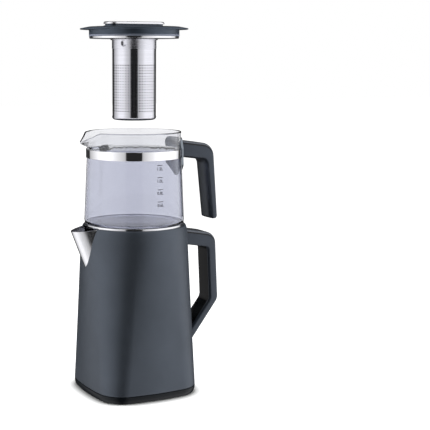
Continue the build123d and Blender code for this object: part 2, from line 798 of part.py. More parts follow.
# ---------------------------------------------------------------- switch
switch_pivot = switch_face - switch_pivot_depth
bezel_start = switch_face - bezel_depth
bezel_foot = switch_height - bezel_height / 2
with BuildPart() as switch_bezel:
    bezel_top = bezel_foot + bezel_height
    flange_start = switch_face + fit_gap
    flange_width = bezel_width + 2 * bezel_flange
    flange_foot = bezel_foot - bezel_flange
    flange_top = bezel_top + bezel_flange
    add(block(flange_start, bezel_flange_thickness, flange_width, flange_foot, flange_top))
    add(block(bezel_start, bezel_depth + fit_gap, bezel_width, bezel_foot, bezel_top))
    fillet(switch_bezel.faces().sort_by(Axis.X)[-1].edges(), bezel_flange_thickness / 2)
    with BuildSketch(Plane.YZ.offset(bezel_start)):
        with Locations((0, switch_height)):
            Rectangle(switch_width + 2 * slide_gap, switch_opening_height)
    extrude(amount=2 * bezel_depth, mode=Mode.SUBTRACT)
    with BuildSketch(Plane.XZ):
        with Locations((switch_pivot, switch_height)):
            Circle(switch_pin_radius + fit_gap / 2)
    extrude(amount=switch_width / 2 + bezel_frame / 2 + seat_gap, both=True, mode=Mode.SUBTRACT)
switch_bezel.part.label = "switch_bezel"
export_step(switch_bezel.part, "parts/switch_bezel.step")

with BuildPart() as switch_lever:
    with BuildSketch(Plane.XZ):
        with Locations((switch_pivot, switch_height)):
            Circle(switch_pin_radius * 2)
        with BuildLine() as paddle:
            paddle_tip = switch_face + switch_reach
            Polyline(
                (switch_pivot, switch_height - switch_thickness / 2),
                (paddle_tip, switch_height - switch_thickness / 2),
                (paddle_tip, switch_height + switch_thickness / 2),
                (switch_pivot, switch_height + switch_thickness / 2),
                close=True,
            )
            fillet(paddle.vertices().group_by(Axis.X)[-1], switch_thickness / 2 - fit_gap)
        make_face()
    extrude(amount=switch_width / 2, both=True)
    with BuildSketch(Plane.XZ):
        with Locations((switch_pivot, switch_height)):
            Circle(switch_pin_radius)
    extrude(amount=(switch_width + bezel_frame) / 2, both=True)
switch_lever.part.label = "switch_lever"
export_step(switch_lever.part, "parts/switch_lever.step")

switch_block_end = switch_pivot - 2 * switch_pin_radius - seat_gap
with BuildPart() as switch_block:
    block_start = switch_block_end - switch_block_length
    block_top = switch_height + switch_thickness / 2
    add(block(block_start, switch_block_length, switch_width, kettle_plate_top, block_top))
    chamfer(switch_block.edges().filter_by(Axis.Z), switch_block_chamfer)
switch_block.part.label = "switch_block"
export_step(switch_block.part, "parts/switch_block.step")

# ---------------------------------------------------------------- teapot
glass_neck_level = glass_seat + glass_neck_height
glass_throat_level = (glass_seat + glass_neck_top + glass_rim) / 2


def glass_round_form(inset, floor=0.0):
    """Solid of revolution inside the teapot's glass wall, drawn in by an inset."""
    foot = glass_seat + floor
    wide = glass_foot_radius - inset
    corner = glass_corner_radius - inset
    neck = glass_neck_radius - inset
    with BuildPart() as form:
        with BuildSketch(Plane.XZ):
            with BuildLine():
                Line((0, foot), (wide - corner, foot))
                RadiusArc((wide - corner, foot), (wide, foot + corner), -corner)
                Line((wide, foot + corner), (neck, glass_neck_level))
                Line((neck, glass_neck_level), (neck, glass_seat + glass_neck_top))
                ThreePointArc(
                    (neck, glass_seat + glass_neck_top),
                    (glass_throat_radius - inset, glass_throat_level),
                    (glass_rim_radius - inset, glass_rim),
                )
                Line((glass_rim_radius - inset, glass_rim), (0, glass_rim))
                Line((0, glass_rim), (0, foot))
            make_face()
        revolve(axis=Axis.Z)
    return form.part


def glass_spout_form(inset):
    """Beak that grows out of the neck to its full reach and then stands upright to the rim."""
    neck = glass_neck_radius - inset
    tip_radius = glass_spout_tip_radius - inset
    foot_level = glass_seat + glass_spout_foot + glass_spout_foot_shift * inset
    full_level = glass_seat + glass_spout_level + inset / 2
    foot = spout_section(foot_level, neck, neck + seat_gap, tip_radius)
    full = spout_section(full_level, neck, glass_spout_reach - inset, tip_radius)
    with BuildPart() as form:
        loft(sections=[foot, full])
        extrude(full, amount=glass_rim - full_level)
    return form.part


with BuildPart() as teapot_glass:
    add(glass_round_form(0))
    add(glass_spout_form(0))
    add(glass_round_form(glass_wall, glass_floor), mode=Mode.SUBTRACT)
    add(glass_spout_form(glass_wall), mode=Mode.SUBTRACT)
    with BuildSketch(Plane.XZ):
        with BuildLine():
            lip_level = glass_seat + glass_spout_level
            lip_start = (-glass_throat_radius + glass_wall, glass_rim)
            Polyline(
                lip_start,
                (-glass_spout_reach, lip_level),
                (-glass_spout_reach - cut_margin, lip_level),
                (-glass_spout_reach - cut_margin, glass_rim + cut_margin),
                (lip_start[0], glass_rim + cut_margin),
                close=True,
            )
        make_face()
    extrude(amount=glass_neck_radius, both=True, mode=Mode.SUBTRACT)
teapot_glass.part.label = "teapot_glass"
export_step(teapot_glass.part, "parts/teapot_glass.step")

band_foot = glass_seat + band_top - band_height
band_inner = glass_neck_radius + fit_gap
band_outer = band_inner + band_thickness
with BuildPart() as teapot_band:
    revolve(ring_outline(band_inner, band_outer, band_foot, band_foot + band_height), axis=Axis.Z)
    band_edges = teapot_band.edges().filter_by(GeomType.CIRCLE)
    fillet(band_edges.group_by(SortBy.RADIUS)[-1], band_thickness / 3)
teapot_band.part.label = "teapot_band"
export_step(teapot_band.part, "parts/teapot_band.step")

shield_outer = shield_thickness + fit_gap
with BuildPart() as teapot_shield:
    with BuildSketch(Plane.YZ):
        with BuildLine() as shield_line:
            Polyline(
                (-shield_half_width, glass_seat + shield_shoulder),
                (0, glass_seat + shield_tip),
                (shield_half_width, glass_seat + shield_shoulder),
                (shield_half_width, glass_seat + shield_top),
                (-shield_half_width, glass_seat + shield_top),
                close=True,
            )
            fillet(shield_line.vertices().group_by(Axis.Y)[0], shield_tip_radius)
            fillet(shield_line.vertices().group_by(Axis.Y)[-1], shield_corner_radius)
        make_face()
    extrude(amount=glass_foot_radius + shield_outer)
    add(glass_round_form(-shield_outer), mode=Mode.INTERSECT)
    tongue_foot = glass_seat + tongue_level - tongue_height / 2
    tongue_start = glass_neck_radius + shield_thickness / 2
    tongue_reach = tongue_length + shield_thickness / 2
    add(block(tongue_start, tongue_reach, tongue_width, tongue_foot, tongue_foot + tongue_height))
    add(glass_round_form(-fit_gap), mode=Mode.SUBTRACT)
    band_room = ring_outline(
        0, band_outer + fit_gap, band_foot - fit_gap, band_foot + band_height + fit_gap
    )
    revolve(band_room, axis=Axis.Z, mode=Mode.SUBTRACT)
    tongue_middle = glass_neck_radius + shield_outer + tongue_length / 2
    with BuildSketch(Plane.XY.offset(tongue_foot)):
        with Locations((tongue_middle, 0)):
            Circle(screw_radius + fit_gap)
    extrude(amount=tongue_height, mode=Mode.SUBTRACT)
teapot_shield.part.label = "teapot_shield"
export_step(teapot_shield.part, "parts/teapot_shield.step")


# ---------------------------------------------------------------- teapot handle
def teapot_handle_outline(drop=0.0):
    """Side outline of the teapot's open handle, lowered on top for its cover."""
    arm_root = raised((glass_neck_radius, teapot_arm_height), -drop)
    arm_end = raised(teapot_arm_corner, -drop)
    inner_arm_root = raised((glass_neck_radius, teapot_arm_height), -teapot_arm_thickness)
    inner_arm_end = raised(teapot_arm_corner, -teapot_arm_thickness)
    inner_x = teapot_arm_corner[0] - teapot_grip_thickness - teapot_grip_taper
    inner_grip_top = (inner_x, teapot_arm_corner[1])
    inner_grip_foot = (teapot_grip_foot[0] - teapot_grip_thickness, teapot_grip_foot[1])
    points = [
        arm_root,
        crossing(arm_root, arm_end, teapot_arm_corner, teapot_grip_foot),
        teapot_grip_foot,
        inner_grip_foot,
        crossing(inner_arm_root, inner_arm_end, inner_grip_top, inner_grip_foot),
        inner_arm_root,
    ]
    end = teapot_end_bend
    return side_outline(points, [0, teapot_arm_bend, end, end, teapot_inner_bend, 0])


teapot_bar = rounded_bar(teapot_handle_outline(), handle_width, handle_edge_radius)
shield_outside = glass_round_form(-shield_outer - fit_gap)
tongue_top = tongue_foot + tongue_height

with BuildPart() as teapot_handle:
    add(teapot_bar)
    add(handle_bar(teapot_handle_outline(groove_drop), handle_width), mode=Mode.INTERSECT)
    add(shield_outside, mode=Mode.SUBTRACT)
    pocket_foot = tongue_foot - fit_gap
    pocket_top = tongue_top + fit_gap
    pocket_width = tongue_width + 2 * fit_gap
    pocket = block(tongue_start, tongue_reach + fit_gap, pocket_width, pocket_foot, pocket_top)
    add(pocket, mode=Mode.SUBTRACT)
    with BuildSketch(Plane.XY.offset(tongue_foot)):
        with Locations((tongue_middle, 0)):
            Circle(screw_radius + fit_gap)
    extrude(amount=teapot_arm_thickness, mode=Mode.SUBTRACT)
    head_seat = tongue_top + tongue_cheek
    with BuildSketch(Plane.XY.offset(head_seat)):
        with Locations((tongue_middle, 0)):
            Circle(screw_head_radius + fit_gap)
    extrude(amount=teapot_arm_thickness, mode=Mode.SUBTRACT)
teapot_handle.part.label = "teapot_handle"
export_step(teapot_handle.part, "parts/teapot_handle.step")

with BuildPart() as teapot_handle_cover:
    add(teapot_bar)
    lowered = handle_bar(teapot_handle_outline(handle_cover_thickness), handle_width)
    add(lowered, mode=Mode.SUBTRACT)
    add(handle_bar(teapot_handle_outline(handle_cover_thickness / 2), cover_tongue_width))
    tongue_floor = handle_bar(teapot_handle_outline(tongue_drop), handle_width)
    add(tongue_floor, mode=Mode.SUBTRACT)
    add(shield_outside, mode=Mode.SUBTRACT)
    cover_end = teapot_arm_corner[1] - teapot_arm_bend
    with BuildSketch(Plane.XY.offset(cover_end)):
        Rectangle(4 * body_half_side, handle_width)
    extrude(amount=-cover_end, mode=Mode.SUBTRACT)
teapot_handle_cover.part.label = "teapot_handle_cover"
export_step(teapot_handle_cover.part, "parts/teapot_handle_cover.step")

with BuildPart() as teapot_handle_screw:
    with BuildSketch(Plane.XY.offset(head_seat + fit_gap)):
        with Locations((tongue_middle, 0)):
            Circle(screw_head_radius)
    extrude(amount=screw_head_height)
    with BuildSketch(Plane.XY.offset(tongue_foot + fit_gap)):
        with Locations((tongue_middle, 0)):
            Circle(screw_radius)
    extrude(amount=head_seat - tongue_foot)
teapot_handle_screw.part.label = "teapot_handle_screw"
export_step(teapot_handle_screw.part, "parts/teapot_handle_screw.step")

# ---------------------------------------------------------------- lid
disc_underside = disc_level - lid_skin
boss_seat = under_ring_foot + boss_flange_thickness
lid_screw_places = PolarLocations(lid_screw_circle_radius, 3)
knob_screw_places = GridLocations(2 * knob_screw_distance, 1, 2, 1)
lid_screw_length = disc_underside - under_ring_foot - lid_skin

with BuildPart() as lid_cover:
    with BuildSketch(Plane.XZ):
        with BuildLine():
            Polyline(
                (0, disc_level),
                (lid_disc_radius, disc_level),
                (lid_crest_radius, lid_level + lid_crest_height),
                (lid_radius, lid_level + lid_edge_thickness),
                (lid_radius, lid_level),
                (lid_plug_radius, lid_level),
                (lid_plug_radius, plug_foot),
                (lid_plug_radius - lid_plug_wall, plug_foot),
                (lid_plug_radius - lid_plug_wall, disc_underside),
                (0, disc_underside),
                close=True,
            )
        make_face()
    revolve(axis=Axis.Z)
    rim_edges = lid_cover.edges().filter_by(GeomType.CIRCLE).group_by(SortBy.RADIUS)[-1]
    fillet(rim_edges, lid_edge_thickness / 3)
    with BuildSketch(Plane.XY.offset(boss_seat)):
        with lid_screw_places:
            Circle(lid_post_radius)
            Circle(screw_radius + fit_gap, mode=Mode.SUBTRACT)
    extrude(amount=disc_underside - boss_seat)
    with BuildSketch(Plane.XY.offset(disc_underside)):
        with knob_screw_places:
            Circle(screw_radius + fit_gap)
    extrude(amount=lid_skin, mode=Mode.SUBTRACT)
lid_cover.part.label = "lid_cover"
export_step(lid_cover.part, "parts/lid_cover.step")

with BuildPart() as lid_seal:
    seal_inner = seal_radius - seal_width
    revolve(ring_outline(seal_inner, seal_radius, seal_foot, plug_foot), axis=Axis.Z)
    seal_edges = lid_seal.edges().filter_by(GeomType.CIRCLE)
    fillet(seal_edges.group_by(SortBy.RADIUS)[-1], seal_height / 3)
lid_seal.part.label = "lid_seal"
export_step(lid_seal.part, "parts/lid_seal.step")

flange_radius = boss_radius + boss_flange
with BuildPart() as lid_under_ring:
    with BuildSketch(Plane.XZ):
        with BuildLine() as pan:
            Polyline(
                (under_ring_radius, under_ring_foot),
                (under_ring_radius, seal_foot),
                (under_ring_radius - under_ring_wall, seal_foot),
                (under_ring_radius - under_ring_wall, under_ring_foot + under_ring_wall),
                (flange_radius + fit_gap + under_ring_wall, under_ring_foot + under_ring_wall),
                (flange_radius + fit_gap + under_ring_wall, boss_seat + under_ring_wall),
                (under_ring_hole, boss_seat + under_ring_wall),
                (under_ring_hole, boss_seat),
                (flange_radius + fit_gap, boss_seat),
                (flange_radius + fit_gap, under_ring_foot),
                close=True,
            )
            outer_corner = pan.vertices().sort_by_distance((under_ring_radius, under_ring_foot))[0]
            fillet(outer_corner, under_ring_bend)
        make_face()
    revolve(axis=Axis.Z)
lid_under_ring.part.label = "lid_under_ring"
export_step(lid_under_ring.part, "parts/lid_under_ring.step")


def ring_sector(inner, outer, foot, top, start, span):
    """Block between two radii and two levels, over a span of degrees from a start."""
    with BuildPart() as sector:
        revolve(ring_outline(inner, outer, foot, top), axis=Axis.Z, revolution_arc=span)
    return sector.part.rotate(Axis.Z, start)


dimple_level = rim_level - dimple_drop
dimple_tip = collar_inner_radius - dimple_depth
dimple_centre = dimple_tip + dimple_sphere_radius + infuser_wall
dimple_reach = sqrt((dimple_sphere_radius + infuser_wall) ** 2 - (dimple_centre - boss_radius) ** 2)
slot_reach = dimple_reach + bayonet_margin
slot_angle = degrees(slot_reach / boss_radius)
boss_foot = collar_foot + slide_gap
slot_floor = boss_radius - boss_slot_depth
with BuildPart() as lid_boss:
    with BuildSketch(Plane.XY.offset(under_ring_foot)):
        Circle(flange_radius)
        with lid_screw_places:
            Circle(screw_radius + fit_gap, mode=Mode.SUBTRACT)
    extrude(amount=boss_flange_thickness)
    with BuildSketch(Plane.XY.offset(boss_foot)):
        Circle(boss_radius)
        Circle(boss_radius - boss_wall, mode=Mode.SUBTRACT)
    extrude(amount=under_ring_foot - boss_foot)
    for turn in range(dimple_count):
        start = dimple_angle + turn * 360 / dimple_count - slot_angle
        top = dimple_level + slot_reach
        run = bayonet_turn + 2 * slot_angle
        outer = boss_radius + slide_gap
        across = ring_sector(slot_floor, outer, dimple_level - slot_reach, top, start, run)
        add(across, mode=Mode.SUBTRACT)
        entry_start = start + bayonet_turn
        entry = ring_sector(slot_floor, outer, boss_foot, top, entry_start, 2 * slot_angle)
        add(entry, mode=Mode.SUBTRACT)
lid_boss.part.label = "lid_boss"
export_step(lid_boss.part, "parts/lid_boss.step")

with BuildPart() as lid_screws:
    add(pan_screws(lid_screw_places, under_ring_foot, lid_screw_length))
lid_screws.part.label = "lid_screws"
export_step(lid_screws.part, "parts/lid_screws.step")


def knob_section(height, inset):
    """Rounded oblong of the lid's knob at a height, drawn in by an inset."""
    with BuildSketch(Plane.XY.offset(height)) as section:
        length = knob_length - 2 * inset
        RectangleRounded(length, knob_width - 2 * inset, knob_corner_radius - inset)
    return section.sketch


knob_groove_foot = disc_level + knob_foot_height
knob_trim_foot = knob_groove_foot + knob_groove_height
knob_cap_foot = knob_top - knob_cap_thickness
with BuildPart() as lid_knob:
    extrude(knob_section(disc_level, 0), amount=knob_foot_height)
    extrude(knob_section(knob_groove_foot, knob_groove_depth), amount=knob_groove_height)
    core = knob_section(knob_trim_foot, knob_trim_width + fit_gap)
    extrude(core, amount=knob_cap_foot - knob_trim_foot)
    with BuildSketch(Plane.XY.offset(disc_level)):
        with knob_screw_places:
            Circle(screw_radius + fit_gap)
    extrude(amount=knob_trim_foot - disc_level, mode=Mode.SUBTRACT)
lid_knob.part.label = "lid_knob"
export_step(lid_knob.part, "parts/lid_knob.step")

with BuildPart() as lid_knob_trim:
    extrude(knob_section(knob_trim_foot, 0), amount=knob_top - knob_trim_foot)
    chamfer(lid_knob_trim.edges().group_by(Axis.Z)[-1], knob_bevel)
    bore = knob_section(knob_trim_foot, knob_trim_width)
    extrude(bore, amount=knob_height, mode=Mode.SUBTRACT)
lid_knob_trim.part.label = "lid_knob_trim"
export_step(lid_knob_trim.part, "parts/lid_knob_trim.step")

with BuildPart() as lid_knob_cap:
    extrude(knob_section(knob_cap_foot, knob_trim_width + fit_gap), amount=knob_cap_thickness)
    fillet(lid_knob_cap.edges().group_by(Axis.Z)[-1], knob_cap_thickness / 3)
lid_knob_cap.part.label = "lid_knob_cap"
export_step(lid_knob_cap.part, "parts/lid_knob_cap.step")

with BuildPart() as lid_knob_screws:
    add(pan_screws(knob_screw_places, disc_underside, knob_foot_height + lid_skin))
lid_knob_screws.part.label = "lid_knob_screws"
export_step(lid_knob_screws.part, "parts/lid_knob_screws.step")

# ---------------------------------------------------------------- infuser
def dimples(sphere_radius, reach):
    """Group of balls at the collar's dimples, kept within a reach of the axis."""
    with BuildPart() as balls:
        for turn in range(dimple_count):
            angle = dimple_angle + turn * 360 / dimple_count
            with Locations(Vector(dimple_centre, 0, dimple_level).rotate(Axis.Z, angle)):
                Sphere(sphere_radius)
        with BuildSketch(Plane.XY.offset(collar_foot)):
            Circle(reach)
        extrude(amount=collar_height, mode=Mode.INTERSECT)
    return balls.part


with BuildPart() as dimple_caps:
    add(dimples(dimple_sphere_radius + infuser_wall, collar_inner_radius + infuser_wall / 2))
    add(dimples(dimple_sphere_radius, rolled_rim_radius), mode=Mode.SUBTRACT)

with BuildPart() as infuser_collar:
    with BuildSketch(Plane.XZ):
        with BuildLine() as collar_line:
            Polyline(
                (collar_inner_radius, collar_foot),
                (collar_radius, collar_foot),
                (collar_radius, rim_level - rolled_rim_height),
                (rolled_rim_radius, rim_level - rolled_rim_height),
                (rolled_rim_radius, rim_level),
                (collar_inner_radius, rim_level),
                close=True,
            )
            rolled = collar_line.vertices().group_by(Axis.X)[-1]
            fillet(rolled, rolled_rim_height / 2 - fit_gap)
        make_face()
    revolve(axis=Axis.Z)
    add(dimples(dimple_sphere_radius, rolled_rim_radius), mode=Mode.SUBTRACT)
    add(dimple_caps.part)
infuser_collar.part.label = "infuser_collar"
export_step(infuser_collar.part, "parts/infuser_collar.step")

tube_foot = infuser_foot + infuser_corner_radius
hole_top = lid_level - hole_field_top
hole_pitch = hole_field_height / (hole_rows - 1)
with BuildPart() as hole_pair:
    with BuildSketch(Plane.YZ):
        with Locations((0, hole_top - hole_field_height / 2)):
            with GridLocations(1, hole_pitch, 1, hole_rows):
                Rectangle(hole_size, hole_size)
    extrude(amount=infuser_radius, both=True)

with BuildPart() as infuser_tube:
    with BuildSketch(Plane.XY.offset(tube_foot)):
        Circle(infuser_radius)
        Circle(infuser_radius - infuser_wall, mode=Mode.SUBTRACT)
    extrude(amount=collar_foot - tube_foot)
    for column in range(hole_columns // 2):
        turned = hole_pair.part.rotate(Axis.Z, column * 360 / hole_columns)
        add(turned, mode=Mode.SUBTRACT)
infuser_tube.part.label = "infuser_tube"
export_step(infuser_tube.part, "parts/infuser_tube.step")

with BuildPart() as infuser_base:
    cup = cup_outline(infuser_radius, infuser_foot, tube_foot, infuser_corner_radius)
    revolve(cup, axis=Axis.Z)
    inner_radius = infuser_radius - infuser_wall
    inner_bend = infuser_corner_radius - infuser_wall
    bowl_top = tube_foot + infuser_wall
    bowl = cup_outline(inner_radius, infuser_foot + infuser_wall, bowl_top, inner_bend)
    revolve(bowl, axis=Axis.Z, mode=Mode.SUBTRACT)
    with BuildSketch(Plane.XY.offset(infuser_foot)):
        Rectangle(hole_size, hole_size)
        for ring in range(1, base_hole_rings + 1):
            with PolarLocations(ring * infuser_radius / (base_hole_rings + 1), 6 * ring):
                Rectangle(hole_size, hole_size)
    extrude(amount=infuser_wall, mode=Mode.SUBTRACT)
infuser_base.part.label = "infuser_base"
export_step(infuser_base.part, "parts/infuser_base.step")
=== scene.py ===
"""Looks of an automatic tea maker: power base, kettle, glass teapot and lifted lid.

Lengths are metres in the part's own frame: +Z up, origin under the centre of the power base,
both handles towards +X and both spouts towards -X.
"""

from __future__ import annotations

import functools
import logging
import math
from dataclasses import dataclass
from enum import Enum
from typing import Any, Sequence

import bmesh
import bpy
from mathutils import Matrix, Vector

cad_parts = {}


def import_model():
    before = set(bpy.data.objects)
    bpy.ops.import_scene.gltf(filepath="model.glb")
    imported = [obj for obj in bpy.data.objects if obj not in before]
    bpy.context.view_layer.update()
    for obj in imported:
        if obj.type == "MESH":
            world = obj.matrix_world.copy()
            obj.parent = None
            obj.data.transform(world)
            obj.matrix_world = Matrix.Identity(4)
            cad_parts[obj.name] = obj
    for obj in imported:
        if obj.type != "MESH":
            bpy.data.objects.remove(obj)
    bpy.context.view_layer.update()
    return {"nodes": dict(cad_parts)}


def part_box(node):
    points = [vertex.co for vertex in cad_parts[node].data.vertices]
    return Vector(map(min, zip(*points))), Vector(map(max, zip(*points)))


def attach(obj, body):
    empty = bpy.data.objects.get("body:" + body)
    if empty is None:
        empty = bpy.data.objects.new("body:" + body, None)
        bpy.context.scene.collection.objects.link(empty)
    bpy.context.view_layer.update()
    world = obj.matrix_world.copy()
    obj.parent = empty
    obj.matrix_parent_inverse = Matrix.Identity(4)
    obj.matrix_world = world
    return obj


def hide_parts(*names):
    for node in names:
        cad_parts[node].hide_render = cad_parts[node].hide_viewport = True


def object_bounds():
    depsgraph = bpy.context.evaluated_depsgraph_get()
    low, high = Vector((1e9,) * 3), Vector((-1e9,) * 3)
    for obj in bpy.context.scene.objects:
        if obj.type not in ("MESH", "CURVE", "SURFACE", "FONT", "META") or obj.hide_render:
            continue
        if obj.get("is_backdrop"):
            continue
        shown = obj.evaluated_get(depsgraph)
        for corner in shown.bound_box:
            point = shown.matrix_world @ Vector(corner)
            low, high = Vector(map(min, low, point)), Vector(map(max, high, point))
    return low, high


log = logging.getLogger("tea_maker")

MM = 0.001
TINY = 1e-5  # smallest bend radius, in metres
FULL_TURN = 2 * math.pi
QUARTER_TURN = math.pi / 2
ROUND_STEPS = 144  # points on a plain round
BEND_STEPS = 8  # segments in a bend
SPOUT_STEPS = 200  # points on a round with a spout
SPOUT_CROWDING = 0.72  # how far these points move towards the spout
CREASE = 38.0  # degrees above which an edge stays crisp
FINE_CREASE = 30.0  # the same for large smooth shells
SOFT_WIDTH = 12.0 * MM  # strip of a bar's side that a soft edge draws in
SOFT_DEPTH = 4.5 * MM  # depth of a soft edge
NOISE_MIDDLE = (0.3, 0.7)  # values between which most of a noise field lies
CLOUD_STRETCH = (22.0, 22.0, 22.0)  # cloudiness of moulded surfaces, per metre
CLOUD_DRIFT = 0.08  # share by which that cloudiness changes the colour
WAVE_STRETCH = (30.0, 30.0, 18.0)  # wave in blown glass, per metre
WHITE = (1.0, 1.0, 1.0, 1.0)
BAND_INSIDE = 64.6 * MM  # radius that holds the inner face of the teapot's band, which gets a painted lighter, warmer reflection
TUBE_INSIDE = 29.25 * MM  # radius that holds the inner face of the infuser's tube, which gets painted shade
NECK_LEVEL = 326.0 * MM  # level at which the teapot's glass gets clearer

Point2 = tuple[float, float]
Point3 = tuple[float, float, float]
Colour = tuple[float, float, float]
Socket = bpy.types.NodeSocket
Piece = bpy.types.Object
Maker = bmesh.types.BMesh


class Brush(Enum):
    """Direction in which a metal surface was brushed, as the stretch of its streaks."""

    AROUND = (9.0, 9.0, 700.0)
    UPRIGHT = (520.0, 520.0, 6.0)
    NONE = (60.0, 60.0, 60.0)


class Cut(Enum):
    """How one solid acts on another."""

    REMOVE = "DIFFERENCE"
    KEEP = "INTERSECT"


# ---------------------------------------------------------------- shaders
class Graph:
    """Node tree with one short way to add nodes and join them."""

    def __init__(self, tree: bpy.types.NodeTree) -> None:
        """Empties a node tree and keeps it."""
        self.nodes, self.links = tree.nodes, tree.links
        self.nodes.clear()

    def add(
        self, kind: str, inputs: dict[Any, Any] | None = None, **settings: Any
    ) -> bpy.types.Node:
        """Adds a node, applies its settings and fills its inputs.

        Args:
            kind: Type of the node.
            inputs: For each input, a constant or the socket that drives it.
            **settings: Settings of the node itself.

        Returns:
            The node.
        """
        node = self.nodes.new(kind)
        for name, value in settings.items():
            setattr(node, name, value)
        for name, value in (inputs or {}).items():
            if isinstance(value, Socket):
                self.links.new(value, node.inputs[name])
            else:
                node.inputs[name].default_value = value
        return node


class Shader(Graph):
    """Material around one Principled shader, with helpers for procedural detail."""

    def __init__(self, name: str, values: dict[str, Any]) -> None:
        """Starts a material with constant values on its shader's own sockets.

        Args:
            name: Name of the material.
            values: Value by socket name.
        """
        self.material = bpy.data.materials.new(name)
        self.material.use_nodes = True
        super().__init__(self.material.node_tree)
        self.surface = self.add("ShaderNodeBsdfPrincipled", values)
        self.add("ShaderNodeOutputMaterial", {"Surface": self.surface.outputs["BSDF"]})
        self.place = self.add("ShaderNodeTexCoord").outputs["Object"]

    def drive(self, socket: str, value: Socket) -> None:
        """Drives one of the shader's sockets from a field."""
        self.links.new(value, self.surface.inputs[socket])

    def noise(self, stretch: Point3, detail: float) -> Socket:
        """Adds a noise field in the part's own space.

        Args:
            stretch: Scale of the noise along X, Y and Z, per metre.
            detail: Octaves of finer noise.

        Returns:
            The noise's value socket.
        """
        place = self.add("ShaderNodeMapping", {"Vector": self.place, "Scale": stretch})
        inputs = {"Vector": place.outputs["Vector"], "Scale": 1.0, "Detail": detail}
        return self.add("ShaderNodeTexNoise", inputs).outputs["Fac"]

    def spread(
        self, value: Socket, low: float = 0.0, high: float = 1.0, ends: Point2 = NOISE_MIDDLE
    ) -> Socket:
        """Maps the middle of a field to a range.

        Args:
            value: The field.
            low: Result at the field's lower end.
            high: Result at its upper end.
            ends: The field's values at both ends.

        Returns:
            The mapped value's socket.
        """
        inputs = {"Value": value, "From Min": ends[0], "From Max": ends[1]}
        inputs |= {"To Min": low, "To Max": high}
        return self.add("ShaderNodeMapRange", inputs).outputs["Result"]

    def vary_colour(self, value: Socket, first: Colour | Socket, second: Colour) -> None:
        """Lets the base colour go from one colour to another.

        Args:
            value: Field that drives the change, 0 to 1.
            first: Colour, or colour socket, at 0.
            second: Colour at 1.
        """
        first = (*first, 1.0) if isinstance(first, tuple) else first
        inputs = {"Factor": value, "A": first, "B": (*second, 1.0)}
        mix = self.add("ShaderNodeMix", inputs, data_type="RGBA")
        self.drive("Base Color", mix.outputs["Result"])

    def paint_inside_tone(self, radius: float, colour: Colour) -> None:
        """Paints another colour, as painted shade or painted light, on what lies nearer to the
        part's axis than a radius.

        Args:
            radius: Radius within which the other colour shows.
            colour: The other colour, painted on as shade or light.
        """
        flat = self.add("ShaderNodeMapping", {"Vector": self.place, "Scale": (1.0, 1.0, 0.0)})
        away = self.add("ShaderNodeVectorMath", {0: flat.outputs["Vector"]}, operation="LENGTH")
        inputs = {0: away.outputs["Value"], 1: radius}
        within = self.add("ShaderNodeMath", inputs, operation="LESS_THAN")
        colour_now = self.surface.inputs["Base Color"].links[0].from_socket
        self.vary_colour(within.outputs["Value"], colour_now, colour)

    def bump(self, value: Socket, depth: float, strength: float = 1.0) -> None:
        """Adds relief from a field.

        Args:
            value: Height field, 0 to 1.
            depth: Height of the relief in metres.
            strength: Share of the relief that shows.
        """
        inputs = {"Height": value, "Distance": depth, "Strength": strength}
        self.drive("Normal", self.add("ShaderNodeBump", inputs).outputs["Normal"])


@functools.cache
def box_of(node: str) -> tuple[Vector, Vector]:
    """Returns the two corners of a CAD node's box, measured once."""
    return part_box(node)


def levels_of(node: str) -> tuple[float, float]:
    """Returns the levels of a CAD node's underside and top."""
    low, high = box_of(node)
    return low.z, high.z


def toned(colour: Colour, factor: float) -> Colour:
    """Returns the colour made darker or lighter by a factor."""
    return (colour[0] * factor, colour[1] * factor, colour[2] * factor)


@dataclass(frozen=True)
class Moulded:
    """Moulded or painted surface with a fine grain and slight cloudiness."""

    name: str
    colour: Colour
    roughness: float
    metallic: float = 0.0
    grain: float = 2600.0
    grain_depth: float = 0.012 * MM
    shine: float = 0.5
    gloss_drift: float = 0.07

    def build(self) -> bpy.types.Material:
        """Builds the material of a moulded surface.

        Returns:
            The finished material.
        """
        shader = Shader(self.name, {"Metallic": self.metallic, "Specular IOR Level": self.shine})
        cloud = shader.noise(CLOUD_STRETCH, 2.0)
        dark, light = toned(self.colour, 1 - CLOUD_DRIFT), toned(self.colour, 1 + CLOUD_DRIFT)
        shader.vary_colour(shader.spread(cloud), dark, light)
        grain = shader.noise((self.grain, self.grain, self.grain), 1.0)
        drift = self.roughness * self.gloss_drift
        gloss = shader.spread(grain, self.roughness - drift, self.roughness + drift)
        shader.drive("Roughness", gloss)
        shader.bump(grain, self.grain_depth)
        return shader.material


@dataclass(frozen=True)
class Metal:
    """Bare metal with brushing streaks and, where wanted, painted shade or painted light on its
    inside: another base colour nearer the axis.
    """

    name: str
    colour: Colour
    roughness: float
    brush: Brush = Brush.AROUND
    streak_depth: float = 0.004 * MM
    drift: float = 0.05
    # Colour of the painted shade or painted light on the inner face, within painted_inside_radius
    # of the axis.
    inside: Colour = (0.0, 0.0, 0.0)
    painted_inside_radius: float = 0.0
    gloss_drift: float = 0.25
    streak_share: float = 0.5

    def build(self) -> bpy.types.Material:
        """Builds the material of a metal surface.

        Returns:
            The finished material.
        """
        shader = Shader(self.name, {"Metallic": 1.0})
        streaks = shader.noise(self.brush.value, 4.0)
        dark, light = toned(self.colour, 1 - self.drift), toned(self.colour, 1 + self.drift)
        shader.vary_colour(shader.spread(streaks), dark, light)
        # Painted shade or painted light on the inner face: another base colour within a radius of
        # the axis.
        if self.painted_inside_radius > 0:
            shader.paint_inside_tone(self.painted_inside_radius, self.inside)
        drift = self.roughness * self.gloss_drift
        gloss = shader.spread(streaks, self.roughness - drift, self.roughness + drift)
        shader.drive("Roughness", gloss)
        shader.bump(streaks, self.streak_depth, self.streak_share)
        return shader.material


